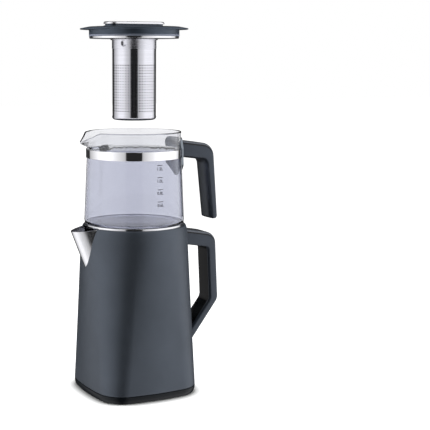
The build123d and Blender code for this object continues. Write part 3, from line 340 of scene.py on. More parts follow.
@dataclass(frozen=True)
class Glass:
    """Tinted glass that is clearer above its neck, with a faint wave in its surface."""

    name: str
    tint: Colour
    neck_tint: Colour
    neck_level: float
    neck_blend: float = 4.0 * MM
    bending: float = 1.47
    shine: float = 0.3
    roughness: float = 0.015
    wave_depth: float = 0.02 * MM
    wave_share: float = 0.3

    def build(self) -> bpy.types.Material:
        """Builds the material of clear glass with a tinted neck.

        Returns:
            The finished material.
        """
        values = {"IOR": self.bending, "Specular IOR Level": self.shine}
        shader = Shader(self.name, {"Transmission Weight": 1.0, **values})
        height = shader.add("ShaderNodeSeparateXYZ", {"Vector": shader.place}).outputs["Z"]
        ends = (self.neck_level - self.neck_blend, self.neck_level)
        shader.vary_colour(shader.spread(height, ends=ends), self.tint, self.neck_tint)
        wave = shader.noise(WAVE_STRETCH, 1.0)
        shader.drive("Roughness", shader.spread(wave, 0.0, self.roughness))
        shader.bump(wave, self.wave_depth, self.wave_share)
        return shader.material


class Finish(Enum):
    """Every finish on the tea maker."""

    BODY = Moulded("satin_body", (0.074, 0.088, 0.11), 0.4, metallic=0.5)
    HANDLE = Moulded("satin_handle", (0.045, 0.055, 0.072), 0.3, metallic=0.4)
    COVER = Moulded("handle_strip", (0.12, 0.13, 0.15), 0.32, metallic=0.5)
    LID = Moulded("satin_lid", (0.06, 0.08, 0.11), 0.34, metallic=0.4)
    LINER = Moulded("liner_black", (0.008, 0.008, 0.009), 0.3, shine=0.18)
    # Near-black colour of the handle's groove: painted shade in the gap under the cover strip.
    SHADED_GROOVE = Moulded("groove_painted_shade", (0.008, 0.008, 0.009), 0.5)
    # Much darker than the body's satin: partly the base's own dark plastic, partly painted shade at
    # the foot.
    BASE = Moulded("satin_base_painted_shade", (0.005, 0.007, 0.01), 0.3, grain_depth=0.004 * MM, shine=0.2)
    DARK = Moulded("dark_plastic", (0.03, 0.031, 0.034), 0.5)
    RUBBER = Moulded("rubber", (0.02, 0.02, 0.02), 0.75, grain=1400.0, grain_depth=0.03 * MM)
    SILICONE = Moulded("silicone", (0.30, 0.33, 0.42), 0.35)
    INK = Moulded("scale_ink", (0.012, 0.013, 0.018), 0.55)
    BAND = Metal(
        "band_chrome_painted_light_inside",
        (0.93, 0.93, 0.94),
        0.05,
        Brush.NONE,
        streak_depth=0.0005 * MM,
        drift=0.01,
        # Lighter, warmer inner face: a painted reflection where the band shows through the glass.
        inside=(0.96, 0.96, 0.9),
        painted_inside_radius=BAND_INSIDE,
    )
    TRIM = Metal("satin_trim", (0.85, 0.85, 0.87), 0.3, Brush.NONE)
    SHIELD = Metal("satin_shield", (0.25, 0.28, 0.31), 0.4, Brush.NONE)
    # Dark sheet inside the infuser's tube: painted shade, where nothing real stands.
    MESH = Metal("painted_shade_sheet", (0.06, 0.06, 0.065), 0.5, Brush.NONE, 0.05 * MM, 0.3)
    COLLAR = Metal("collar_steel", (0.7, 0.7, 0.745), 0.27)
    RING = Metal("ring_steel", (0.84, 0.84, 0.85), 0.12)
    SPOUT = Metal("spout_steel", (0.8, 0.8, 0.82), 0.2, Brush.UPRIGHT)
    INFUSER = Metal(
        "infuser_steel_painted_shade",
        (0.7, 0.7, 0.745),
        0.13,
        streak_depth=0.002 * MM,
        # Near-black inner face of the tube and bottom: painted shade inside them.
        inside=(0.02, 0.02, 0.025),
        painted_inside_radius=TUBE_INSIDE,
    )
    STEEL = Metal("plain_steel", (0.62, 0.62, 0.64), 0.3, Brush.NONE)
    ALUMINIUM = Metal("cast_aluminium", (0.7, 0.7, 0.71), 0.42, Brush.NONE, 0.02 * MM)
    GLASS = Glass("clear_glass", (0.72, 0.733, 0.806), (0.87, 0.875, 0.9), NECK_LEVEL)


class Palette:
    """Builds each finish once and hands it to the pieces."""

    def __init__(self) -> None:
        """Starts with no material built."""
        self.built: dict[Finish, bpy.types.Material] = {}

    def dress(self, piece: Piece, finish: Finish) -> None:
        """Gives a piece one finish all over.

        Args:
            piece: Mesh object to dress.
            finish: The finish it gets.
        """
        if finish not in self.built:
            self.built[finish] = finish.value.build()
        piece.data.materials.clear()
        piece.data.materials.append(self.built[finish])


# ---------------------------------------------------------------- outlines
def rounded_outline(
    corners: Sequence[Point3], inset: float | Sequence[float] = 0.0, steps: int = BEND_STEPS
) -> list[Vector]:
    """Rounds the corners of a closed outline and draws it in by an inset.

    Args:
        corners: Both coordinates and the bend radius of each corner, in order.
        inset: Distance by which every edge moves inwards, or one for each edge.
        steps: Segments in each bend.

    Returns:
        Points of the rounded outline, as many for any inset.
    """
    points = [Vector(corner[:2]) for corner in corners]
    afters = points[1:] + points[:1]
    edges = [(after - point).normalized() for point, after in zip(points, afters)]
    winding = math.copysign(1.0, sum(point.cross(after) for point, after in zip(points, afters)))
    insets = [inset] * len(points) if isinstance(inset, float) else inset
    outline = []
    for i, point in enumerate(points):
        before, after = edges[i - 1], edges[i]
        first, second, share = insets[i - 1], insets[i], before.dot(after)
        from_before = Vector((-before.y, before.x)) * winding * (first - second * share)
        from_after = Vector((-after.y, after.x)) * winding * (second - first * share)
        moved = point + (from_before + from_after) / (1 - share * share)
        turn = math.copysign(1.0, before.cross(after))
        radius = max(corners[i][2] - (first + second) / 2 * turn * winding, TINY)
        angle = before.angle(after)
        start = moved - before * (radius * math.tan(angle / 2))
        centre = start + Vector((-before.y, before.x)) * (turn * radius)
        arm = start - centre
        for step in range(steps + 1):
            a = turn * angle * step / steps
            cos, sin = math.cos(a), math.sin(a)
            outline.append(centre + Vector((arm.x * cos - arm.y * sin, arm.x * sin + arm.y * cos)))
    return outline


def crossing(a: Point2, b: Point2, c: Point2, d: Point2) -> Point2:
    """Finds where two lines meet.

    Args:
        a: First point of the first line.
        b: Second point of the first line.
        c: First point of the second line.
        d: Second point of the second line.

    Returns:
        The point that both lines share.
    """
    along, across = (b[0] - a[0], b[1] - a[1]), (d[0] - c[0], d[1] - c[1])
    offset = (c[0] - a[0]) * across[1] - (c[1] - a[1]) * across[0]
    share = offset / (along[0] * across[1] - along[1] * across[0])
    return (a[0] + along[0] * share, a[1] + along[1] * share)


def around(radius: float, angle: float, level: float) -> Point3:
    """Place at an angle on a round wall."""
    return (radius * math.cos(angle), radius * math.sin(angle), level)


def circle(radius: float, level: float, steps: int = ROUND_STEPS) -> list[Point3]:
    """Ring of evenly spaced points about the axis."""
    return [around(radius, FULL_TURN * i / steps, level) for i in range(steps)]


def spout_angles() -> list[float]:
    """Angles away from the spout's direction, closer together near its tip."""
    evenly = [FULL_TURN * i / SPOUT_STEPS - math.pi for i in range(SPOUT_STEPS)]
    return [a - SPOUT_CROWDING * math.sin(a) for a in evenly]


def on_spout_side(angle: float, radius: float, height: float) -> Point3:
    """Place at an angle away from the spout's direction, -X."""
    return (-radius * math.cos(angle), radius * math.sin(angle), height)


# ---------------------------------------------------------------- mesh making
def finish_mesh(name: str, maker: Maker, sharp: float = CREASE) -> Piece:
    """Turns a worked mesh into an object with smooth faces and crisp edges.

    Args:
        name: Name of the piece.
        maker: The worked mesh, which is freed.
        sharp: Angle in degrees above which an edge stays crisp.

    Returns:
        The new object, linked to the scene.
    """
    bmesh.ops.remove_doubles(maker, verts=maker.verts, dist=TINY / 5)
    bmesh.ops.recalc_face_normals(maker, faces=maker.faces)
    for face in maker.faces:
        face.smooth = True
    mesh = bpy.data.meshes.new(name)
    maker.to_mesh(mesh)
    maker.free()
    mesh.set_sharp_from_angle(angle=math.radians(sharp))
    piece = bpy.data.objects.new(name, mesh)
    bpy.context.scene.collection.objects.link(piece)
    return piece


def loft(
    maker: Maker,
    rings: Sequence[Sequence[Point3]],
    close_rings: bool = True,
    close_loft: bool = False,
    cap: bool = False,
) -> None:
    """Skins a row of rings that have the same number of points.

    Args:
        maker: Mesh to add to.
        rings: Rings of points.
        close_rings: Joins the last point of each ring to its first.
        close_loft: Joins the last ring to the first.
        cap: Closes the first and the last ring with a face each.
    """
    rows = [[maker.verts.new(point) for point in ring] for ring in rings]
    pairs = list(zip(rows, rows[1:]))
    if close_loft:
        pairs.append((rows[-1], rows[0]))
    count = len(rows[0])
    for low, high in pairs:
        for i in range(count if close_rings else count - 1):
            j = (i + 1) % count
            maker.faces.new((low[i], low[j], high[j], high[i]))
    if cap:
        maker.faces.new(list(reversed(rows[0])))
        maker.faces.new(rows[-1])


def lofted(
    name: str, rings: Sequence[Sequence[Point3]], sharp: float = CREASE, **closing: bool
) -> Piece:
    """Makes a piece of a single loft.

    Args:
        name: Name of the piece.
        rings: Rings of points.
        sharp: Angle in degrees above which an edge stays crisp.
        **closing: How the loft is closed.

    Returns:
        The piece.
    """
    maker = bmesh.new()
    loft(maker, rings, **closing)
    return finish_mesh(name, maker, sharp)


def turned(name: str, corners: Sequence[Point3], sharp: float = CREASE) -> Piece:
    """Turns a closed half section of radius and height about the axis.

    Args:
        name: Name of the piece.
        corners: Radius, height and bend radius of each corner of the section.
        sharp: Angle in degrees above which an edge stays crisp.

    Returns:
        The turned piece.
    """
    rings = [circle(point.x, point.y) for point in rounded_outline(corners)]
    return lofted(name, rings, sharp, close_loft=True)


def bar(
    name: str, corners: Sequence[Point3], width: float, edge: float, soft: Sequence[int] = ()
) -> Piece:
    """Bar of a side outline in the XZ plane with rounded long edges.

    Args:
        name: Name of the piece.
        corners: X, Z and bend radius of each corner of the side outline.
        width: Width along Y.
        edge: Radius of the long edges.
        soft: Edges of the outline that are drawn in more widely, by index.

    Returns:
        The bar.
    """

    def drawn(across: float, wide: float, deep: float) -> float:
        """How far an edge is drawn in at a distance from the bar's middle."""
        share = max((across - width / 2) / wide + 1, 0.0)
        return deep * (1 - math.sqrt(max(1 - share * share, 0.0)))

    shares = [math.sin(QUARTER_TURN * step / BEND_STEPS) for step in range(BEND_STEPS + 1)]
    starts = [edge, SOFT_WIDTH] if soft else [edge]
    spots = {round(width / 2 - wide * (1 - share), 7) for wide in starts for share in shares}
    rings = []
    for across in sorted(spots | {-spot for spot in spots}):
        insets = [drawn(abs(across), edge, edge)] * len(corners)
        for i in soft:
            insets[i] = drawn(abs(across), SOFT_WIDTH, SOFT_DEPTH)
        rings.append([(point.x, across, point.y) for point in rounded_outline(corners, insets)])
    return lofted(name, rings, cap=True)


def cut(piece: Piece, tool: Piece, how: Cut) -> None:
    """Cuts a piece with another one, which is then thrown away.

    Args:
        piece: Piece that changes.
        tool: Piece that cuts.
        how: Whether the tool's solid is removed or kept.
    """
    modifier = piece.modifiers.new("cut", "BOOLEAN")
    modifier.operation = how.value
    modifier.object = tool
    modifier.solver = "EXACT"
    bake(piece)
    bpy.data.objects.remove(tool)


def thickened(name: str, maker: Maker, sheet: float) -> Piece:
    """Makes a piece of sheet metal from its outer surface.

    Args:
        name: Name of the piece.
        maker: The outer surface.
        sheet: Thickness of the sheet.

    Returns:
        The piece.
    """
    piece = finish_mesh(name, maker)
    modifier = piece.modifiers.new("sheet", "SOLIDIFY")
    modifier.thickness = sheet
    modifier.offset = -1.0
    bake(piece)
    return piece


def bake(piece: Piece) -> None:
    """Applies all modifiers of a piece to its mesh and marks its crisp edges.

    Args:
        piece: Piece whose mesh is replaced.
    """
    bpy.context.view_layer.update()
    ready = piece.evaluated_get(bpy.context.evaluated_depsgraph_get())
    mesh = bpy.data.meshes.new_from_object(ready)
    piece.modifiers.clear()
    piece.data = mesh
    mesh.name = piece.name
    mesh.set_sharp_from_angle(angle=math.radians(CREASE))


def copy_of(piece: Piece, name: str) -> Piece:
    """Copies a piece with a mesh of its own.

    Args:
        piece: Piece to copy.
        name: Name of the copy.

    Returns:
        The copy, linked to the scene.
    """
    twin = bpy.data.objects.new(name, piece.data.copy())
    bpy.context.scene.collection.objects.link(twin)
    return twin


@dataclass
class Workshop:
    """What every sub-assembly needs to hand in its pieces."""

    palette: Palette
    nodes: dict[str, Piece]
    count: int = 0

    def hand_in(
        self, piece: Piece, body: str, finish: Finish, slot: str, *nodes: str
    ) -> None:
        """Dresses a piece and lets it ride on its body.

        Args:
            piece: The finished piece.
            body: Body that it moves with.
            finish: Its finish.
            slot: Name of a material slot; not used.
            *nodes: CAD nodes that it stands for.
        """
        self.palette.dress(piece, finish)
        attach(piece, body)
        if nodes:
            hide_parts(*nodes)
        self.count += 1
        log.info("%s rides on %s with %d faces", piece.name, body, len(piece.data.polygons))

    def dress_nodes(self, finish: Finish, *nodes: str) -> None:
        """Gives carried-over CAD nodes their finish.

        Args:
            finish: Their finish.
            *nodes: Names of the nodes.
        """
        for node in nodes:
            self.palette.dress(self.nodes[node], finish)
            log.info("%s keeps its shape and gets %s", node, finish.value.name)


# ---------------------------------------------------------------- power base
@dataclass(frozen=True)
class BowedSquare:
    """Square outline with bowed sides and round corners that grows into a circle."""

    half_side: float = 74.0 * MM
    side_radius: float = 300.0 * MM
    corner_radius: float = 36.0 * MM

    def point(self, t: float, circle_radius: float, inset: float, place: float) -> Point2:
        """Point at one place around the outline.

        Args:
            t: 0 for the square foot and 1 for the circle.
            circle_radius: Radius of the circle.
            inset: Distance by which the outline is drawn in.
            place: Place around the outline, 0 to 8 from the middle of the -X side.

        Returns:
            The point.
        """
        offset = self.side_radius - self.half_side
        reach = self.side_radius - self.corner_radius
        corner = (math.sqrt(2 * reach * reach - offset * offset) - offset) / 2
        half_angle = math.atan2(corner, corner + offset)
        place = place % 8
        quarter = math.floor((place + 1) / 2)
        within = place - 2 * quarter
        turn = math.pi + quarter * QUARTER_TURN
        if abs(within) <= 0.5:
            angle = turn + half_angle * 2 * within
            centre, towards = -offset, turn
            radius = self.side_radius - inset
        else:
            side = math.copysign(1.0, within)
            share = (abs(within) - 0.5) * 2
            angle = turn + side * (half_angle + (math.pi / 4 - half_angle) * share)
            centre, towards = corner * math.sqrt(2), turn + side * math.pi / 4
            radius = self.corner_radius - inset
        round_angle = turn + within * math.pi / 4
        disc = circle_radius - inset
        square_x = centre * math.cos(towards) + radius * math.cos(angle)
        square_y = centre * math.sin(towards) + radius * math.sin(angle)
        return (
            square_x * (1 - t) + disc * math.cos(round_angle) * t,
            square_y * (1 - t) + disc * math.sin(round_angle) * t,
        )


@dataclass
class PowerBase:
    """Power base: satin shell, floor plate, feet, connector and cord gland."""

    shop: Workshop
    outline: BowedSquare = BowedSquare()
    wall: float = 2.2 * MM
    sole: float = 3.5 * MM
    foot_bend: float = 1.4 * MM
    undercut: float = 2.2 * MM
    undercut_height: float = 5.5 * MM
    top_edge: float = 0.6 * MM
    rim_width: float = 22.0 * MM
    connector_hole: float = 12.1 * MM

    def build(self) -> None:
        """Builds the shell and dresses the rest."""
        self.shop.hand_in(self.shell(), "base", Finish.BASE, "base_shell", "base_cover")
        self.shop.dress_nodes(Finish.DARK, "base_plate", "base_connector")
        self.shop.dress_nodes(Finish.RUBBER, "base_feet", "cord_gland")
        self.shop.dress_nodes(Finish.STEEL, "base_screws")

    def shell(self) -> Piece:
        """Shell with an undercut foot, a crisp top edge and a hole for the connector.

        Returns:
            The finished piece.
        """
        foot, top = levels_of("base_cover")
        deep = self.outline.half_side - self.connector_hole
        corners = [
            (self.sole, foot, TINY),
            (self.undercut, foot, self.foot_bend),
            (0.0, foot + self.undercut_height, 2 * self.undercut_height),
            (0.0, top, self.top_edge),
            (deep, top, TINY),
            (deep, top - self.wall, TINY),
            (self.sole, top - self.wall, TINY),
        ]
        places = [4 * i / ROUND_STEPS for i in range(2 * ROUND_STEPS)]
        rings = []
        for point in rounded_outline(corners):
            t = min(max(point.x - self.rim_width, 0.0) / (deep - self.rim_width), 1.0)
            inset = min(point.x, self.rim_width)
            hole = self.connector_hole + inset
            rings.append([(*self.outline.point(t, hole, inset, p), point.y) for p in places])
        return lofted("power_base_shell", rings, close_loft=True)


# ---------------------------------------------------------------- kettle
@dataclass(frozen=True)
class KettleSpout:
    """Shape of the kettle's spout, shared by the pot and the cut in the shell."""

    body: float = 68.0 * MM
    reach: float = 92.9 * MM
    fall: float = 19.6 * MM
    nose: float = 11.1 * MM
    nose_shrink: float = 0.6
    root: float = 164.0 * MM
    foot: float = 176.0 * MM
    rim: float = 229.0 * MM
    tip_level: float = 225.5 * MM

    def reach_at(self, level: float) -> float:
        """Reach of the tip at a level.

        Args:
            level: Level in the scene.

        Returns:
            The distance from the axis.
        """
        foot_reach = self.reach - self.fall
        if level < self.foot:
            share = max(level - self.root, 0.0) / (self.foot - self.root)
            return self.body + (foot_reach - self.body) * share
        slope = self.fall / (self.tip_level - self.foot)
        return min(foot_reach + slope * (level - self.foot), self.reach)

    def radius(self, angle: float, level: float, shrink: float) -> float:
        """Radius of the pot and its spout, whose plan is a parabola round the tip.

        Args:
            angle: Angle away from the spout's direction.
            level: Height.
            shrink: Wall thickness by which the form is drawn in.

        Returns:
            The radius.
        """
        reach = self.reach_at(level) - shrink
        ahead, aside = math.cos(angle), abs(math.sin(angle))
        if reach <= self.body - shrink or ahead <= 0:
            return self.body - shrink
        if aside < 10 * TINY:
            return reach
        bend = self.nose - self.nose_shrink * shrink
        root = math.sqrt(ahead * ahead + 2 * reach * aside * aside / bend)
        return max(bend * (root - ahead) / (aside * aside), self.body - shrink)

    def gap_angle(self, level: float, shell_radius: float) -> float:
        """Half angle of the cut that the spout needs in the shell.

        Args:
            level: Height.
            shell_radius: Radius of the shell's surface.

        Returns:
            The half angle in radians, 0 below the cut.
        """
        reach = self.reach_at(level)
        if level < self.foot or reach <= shell_radius:
            return 0.0
        part = self.nose * self.nose - 2 * self.nose * reach + shell_radius * shell_radius
        return math.acos(min((self.nose + math.sqrt(part)) / shell_radius, 1.0))


@dataclass
class Kettle:
    """Kettle: satin shell, steel pot with its spout, mouth ring, handle and switch."""

    shop: Workshop
    outline: BowedSquare = BowedSquare()
    spout: KettleSpout = KettleSpout()
    top_radius: float = 73.5 * MM
    wall: float = 2.4 * MM
    shoulder_height: float = 27.0 * MM
    shoulder_width: float = 4.2 * MM
    mouth_radius: float = 68.3 * MM
    foot_edge: float = 0.8 * MM
    foot_rows: int = 4
    side_rows: int = 48
    shoulder_rows: int = 28
    search_steps: int = 24
    pot_wall: float = 0.8 * MM
    pot_corner: float = 6.0 * MM
    pot_rows: int = 10
    root_rows: int = 4
    lip_rows: int = 26
    ring_inner: float = 57.0 * MM
    ring_sheet: float = 1.6 * MM
    ring_lip: float = 1.1 * MM

    def build(self) -> None:
        """Builds and dresses every piece of the kettle."""
        hand_in, dress = self.shop.hand_in, self.shop.dress_nodes
        hand_in(self.shell(), "kettle", Finish.BODY, "kettle_grey", "kettle_shell")
        hand_in(self.pot(), "kettle", Finish.SPOUT, "steel_pot", "kettle_pot")
        hand_in(self.ring(), "kettle", Finish.RING, "steel", "kettle_ring")
        KettleHandle(self.shop).build()
        dress(Finish.DARK, "kettle_plate", "thermostat_control", "switch_bezel", "switch_block")
        dress(Finish.BASE, "switch_lever")
        dress(Finish.ALUMINIUM, "heating_plate")
        dress(Finish.RING, "heating_element")
        dress(Finish.STEEL, "kettle_screws", "kettle_handle_screws")

    def surface(self, level: float, place: float, inset: float) -> Point2:
        """Point on the shell's surface.

        Args:
            level: Height.
            place: Place around the outline, 0 to 8.
            inset: Distance inside the outer surface.

        Returns:
            The point.
        """
        low, high = levels_of("kettle_shell")
        shoulder = high - self.shoulder_height
        share = min((level - low) / (shoulder - low), 1.0)
        into = max(level - shoulder, 0.0) / self.shoulder_height
        drop = self.shoulder_width * (1 - math.sqrt(max(1 - into * into, 0.0)))
        drop = min(drop, self.top_radius - inset - self.mouth_radius)
        return self.outline.point(share, self.top_radius, inset + drop, place)

    def cut_place(self, level: float, inset: float) -> float:
        """Place around the outline at which the spout's cut starts.

        Args:
            level: Height.
            inset: Distance inside the outer surface.

        Returns:
            The place, 0 where there is no cut.
        """
        low, high = 0.0, 2.0
        for _ in range(self.search_steps):
            middle = (low + high) / 2
            x, y = self.surface(level, middle, inset)
            wanted = self.spout.gap_angle(level, math.hypot(x, y) + TINY)
            if abs(math.atan2(y, -x)) < wanted:
                low = middle
            else:
                high = middle
        return low if low > TINY else 0.0

    def shell(self) -> Piece:
        """Shell with the spout's cut, an inner surface and closed edges.

        Returns:
            The finished piece.
        """
        low, high = levels_of("kettle_shell")
        shoulder, rise = high - self.shoulder_height, self.shoulder_height
        levels = [low + (shoulder - low) * i / self.side_rows for i in range(self.side_rows)]
        for i in range(self.shoulder_rows + 1):
            levels.append(shoulder + rise * math.sin(QUARTER_TURN * i / self.shoulder_rows))
        outer = []
        for i in range(self.foot_rows):
            share = i / self.foot_rows
            inset = self.foot_edge * (1 - math.sqrt(1 - (1 - share) ** 2))
            outer.append(self.row(low + self.foot_edge * share, inset))
        outer += [self.row(level, 0.0) for level in levels if level > low + self.foot_edge]
        inner = [self.row(level, self.wall) for level in levels[:-1]]
        maker = bmesh.new()
        loft(maker, outer + inner[::-1], close_rings=False, close_loft=True)
        self.close_cut(maker, outer, inner)
        return finish_mesh("kettle_body_shell", maker, FINE_CREASE)

    def row(self, level: float, inset: float) -> list[Point3]:
        """One row of the shell from one flank of the spout's cut round to the other.

        Args:
            level: Height.
            inset: Distance inside the outer surface.

        Returns:
            The row of points.
        """
        start, columns = self.cut_place(level, inset), 2 * ROUND_STEPS
        places = [start + (8 - 2 * start) * i / columns for i in range(columns + 1)]
        return [(*self.surface(level, place, inset), level) for place in places]

    def close_cut(
        self, maker: Maker, outer: list[list[Point3]], inner: list[list[Point3]]
    ) -> None:
        """Closes the wall along both flanks of the spout's cut.

        Args:
            maker: The shell's mesh.
            outer: Rows of its outer surface, from foot to top.
            inner: Rows of its inner surface, from foot to top.
        """
        for column in (0, -1):
            outside = [row[column] for row in outer if row[column][2] > self.spout.foot]
            inside = [row[column] for row in inner if row[column][2] > self.spout.foot]
            count = min(len(outside), len(inside))
            flanks = [outside[-count:], (inside + [outside[-1]])[-count:]]
            loft(maker, flanks, close_rings=False)

    def pot(self) -> Piece:
        """Steel pot and its spout in one sheet with an inner and an outer surface.

        Returns:
            The finished piece.
        """
        low, spout, angles = box_of("kettle_pot")[0].z, self.spout, spout_angles()
        bend = low + self.pot_corner
        levels = []
        for start, end, rows in (
            (bend, spout.root, self.pot_rows),
            (spout.root, spout.foot, self.root_rows),
        ):
            levels += [start + (end - start) * i / rows for i in range(rows)]

        def side(wall: float) -> list[list[Point3]]:
            """Rows of one side of the sheet, from the floor's middle up to the lip.

            Args:
                wall: Distance of the side from the outer surface.

            Returns:
                Rows with one point for each angle.
            """
            floor, flat = low + wall, spout.body - wall - self.pot_corner
            rows = [[on_spout_side(a, radius, floor) for a in angles] for radius in (0.0, flat)]
            for level in levels:
                rows.append([on_spout_side(a, spout.radius(a, level, wall), level) for a in angles])
            for i in range(self.lip_rows + 1):
                rows.append([self.spout_point(a, i / self.lip_rows, wall) for a in angles])
            return rows

        return lofted("kettle_steel_pot", side(0.0) + side(self.pot_wall)[::-1], FINE_CREASE)

    def spout_point(self, angle: float, share: float, wall: float) -> Point3:
        """Point on the spout or the pot's upper wall.

        Args:
            angle: Angle away from the spout's direction.
            share: 0 at the spout's foot and 1 at the lip.
            wall: Wall thickness, or 0 for the outside.

        Returns:
            The point.
        """
        spout = self.spout
        top_radius = spout.radius(angle, spout.rim, wall)
        out = max(top_radius - spout.body, 0.0) / (spout.reach - spout.body)
        top = spout.rim - (spout.rim - spout.tip_level) * min(out, 1.0)
        level = spout.foot + (top - spout.foot) * share
        return on_spout_side(angle, spout.radius(angle, level, wall), level)

    def ring(self) -> Piece:
        """Ring in the kettle's mouth: ledge, inner skirt and rolled lip.

        Returns:
            The finished piece.
        """
        low, high = levels_of("kettle_ring")
        inner, outer, sheet = self.ring_inner, box_of("kettle_ring")[1].x, self.ring_sheet
        ledge, lip = self.spout.rim, outer - self.ring_lip
        corners = [
            (inner, low, 0.3 * MM),
            (inner + sheet, low, 0.3 * MM),
            (inner + sheet, ledge, 0.4 * MM),
            (outer, ledge, 0.8 * MM),
            (outer, high, 0.5 * MM),
            (lip, high, 0.5 * MM),
            (lip, ledge + sheet, 0.8 * MM),
            (inner, ledge + sheet, 1.2 * MM),
        ]
        return turned("kettle_mouth_ring", corners)


# ---------------------------------------------------------------- handles
@dataclass
class Handle:
    """Handle of a vessel: satin bar, cover strip on its arm and a groove between both whose
    near-black colour is painted shade.
    """

    shop: Workshop
    body: str
    root: Point2
    arm_corner: Point2
    grip_foot: Point2
    arm_thickness: float
    grip_thickness: float
    arm_bend: float
    inner_bend: float
    soft: tuple[int, ...] = ()
    width: float = 33.0 * MM
    edge: float = 3.0 * MM
    cover_thickness: float = 3.0 * MM
    groove: float = 1.8 * MM
    groove_depth: float = 1.2 * MM
    margin: float = 4.0 * MM

    def build(self) -> None:
        """Builds the bar, the strip and the groove between them."""
        node, cover, groove = f"{self.body}_handle", self.cover_thickness, self.groove
        full = bar(f"{node}_bar", self.corners(), self.width, self.edge, self.soft)
        strip = copy_of(full, f"{node}_strip")
        cut(strip, self.above(cover), Cut.KEEP)
        cut(full, self.above(cover + groove), Cut.REMOVE)
        self.shop.hand_in(full, self.body, Finish.HANDLE, "handle_grey", node)
        self.shop.hand_in(strip, self.body, Finish.COVER, "handle_cover_grey", f"{node}_cover")
        narrow = self.width - 2 * self.groove_depth
        core = bar(f"{node}_groove", self.corners(), narrow, self.edge, self.soft)
        cut(core, self.above(cover + 2 * groove), Cut.KEEP)
        cut(core, self.above(cover / 2), Cut.REMOVE)
        # The groove's core is near-black: painted shade in the gap between bar and strip.
        self.shop.hand_in(core, self.body, Finish.SHADED_GROOVE, "dark_plastic")

    def corners(self) -> list[Point3]:
        """Corners of the side outline with their bends, from the arm's root all round."""
        raise NotImplementedError

    def above(self, drop: float) -> Piece:
        """Tool that takes in what lies above a line parallel to the arm's top.

        Args:
            drop: Distance of the line below the arm's top.

        Returns:
            The tool.
        """
        (x, z, _), (end_x, end_z, _), (foot_x, foot_z, _) = self.corners()[:3]
        slope, lean = (end_z - z) / (end_x - x), (foot_x - end_x) / (foot_z - end_z)
        side, left = end_x + 2 * self.grip_thickness, x - self.margin
        low, high = end_z - 4 * self.arm_bend, z + self.arm_bend
        corners = [
            (left, z - slope * self.margin - drop, TINY),
            (end_x, end_z - drop, self.arm_bend),
            (end_x - lean * 4 * self.arm_bend, low, TINY),
            (side, low, TINY),
            (side, high, TINY),
            (left, high, TINY),
        ]
        return bar("handle_tool", corners, 2 * self.width, TINY)


@dataclass
class KettleHandle(Handle):
    """Closed handle of the kettle, with a black liner on its inside."""

    body: str = "kettle"
    root: Point2 = (73.5 * MM, 219.4 * MM)
    arm_corner: Point2 = (119.2 * MM, 211.4 * MM)
    grip_foot: Point2 = (124.3 * MM, 117.0 * MM)
    lower_root: Point2 = (74.0 * MM, 50.4 * MM)
    arm_thickness: float = 21.5 * MM
    grip_thickness: float = 13.0 * MM
    root_thickness: float = 18.0 * MM
    arm_bend: float = 18.0 * MM
    grip_bend: float = 14.0 * MM
    inner_bend: float = 6.0 * MM
    overlap: float = 1.0 * MM

    def build(self) -> None:
        """Builds the handle's pieces and dresses its liner."""
        super().build()
        self.shop.dress_nodes(Finish.LINER, "kettle_handle_insert")

    def corners(self) -> list[Point3]:
        """Corners of the side outline with their bends, from the arm's root all round.

        Returns:
            Corners, each as x, z and the radius of its bend.
        """
        start = box_of("kettle_handle")[0].x - self.overlap
        wall = ((start, 0.0), (start, 1.0))
        (arm_x, arm_z), (grip_x, grip_z) = self.arm_corner, self.grip_foot
        (root_x, root_z), thick = self.lower_root, self.grip_thickness
        slope = (arm_z - self.root[1]) / (arm_x - self.root[0])
        lean = (grip_x - arm_x) / (grip_z - arm_z)
        grip = ((arm_x - thick, arm_z), (grip_x - thick, grip_z))
        lift = self.root_thickness
        elbow = ((root_x, root_z + lift), (grip_x, grip_z + lift))
        inner_x = arm_x - thick - lean * self.arm_thickness
        inner_z = arm_z - self.arm_thickness - slope * (arm_x - inner_x)
        return [
            (*crossing(self.root, self.arm_corner, *wall), TINY),
            (arm_x, arm_z, self.arm_bend),
            (grip_x, grip_z, self.grip_bend),
            (*crossing(self.lower_root, self.grip_foot, *wall), TINY),
            (*crossing(*elbow, *wall), TINY),
            (*crossing(*elbow, *grip), 2 * self.inner_bend),
            (inner_x, inner_z, self.inner_bend),
            (start, inner_z + slope * (start - inner_x), TINY),
        ]


@dataclass
class TeapotHandle(Handle):
    """Open handle of the teapot, whose grip ends free."""

    body: str = "teapot"
    root: Point2 = (64.2 * MM, 343.2 * MM)
    arm_corner: Point2 = (114.5 * MM, 336.2 * MM)
    grip_foot: Point2 = (122.4 * MM, 231.5 * MM)
    arm_thickness: float = 23.5 * MM
    grip_thickness: float = 10.8 * MM
    grip_taper: float = 3.7 * MM
    arm_bend: float = 20.0 * MM
    inner_bend: float = 8.0 * MM
    end_bend: float = 4.2 * MM
    soft: tuple[int, ...] = (3, 4)

    def corners(self) -> list[Point3]:
        """Corners of the side outline with their bends, from the arm's root all round.

        Returns:
            Corners, each as x, z and the radius of its bend.
        """
        start = box_of("teapot_handle")[0].x
        wall = ((start, 0.0), (start, 1.0))
        (arm_x, arm_z), (grip_x, grip_z) = self.arm_corner, self.grip_foot
        inner_foot = (grip_x - self.grip_thickness, grip_z)
        inner_top = (arm_x - self.grip_thickness - self.grip_taper, arm_z)
        below = [(x, z - self.arm_thickness) for x, z in (self.root, self.arm_corner)]
        return [
            (*crossing(self.root, self.arm_corner, *wall), TINY),
            (arm_x, arm_z, self.arm_bend),
            (grip_x, grip_z, self.end_bend),
            (*inner_foot, self.end_bend),
            (*crossing(*below, inner_foot, inner_top), self.inner_bend),
            (*crossing(*below, *wall), TINY),
        ]


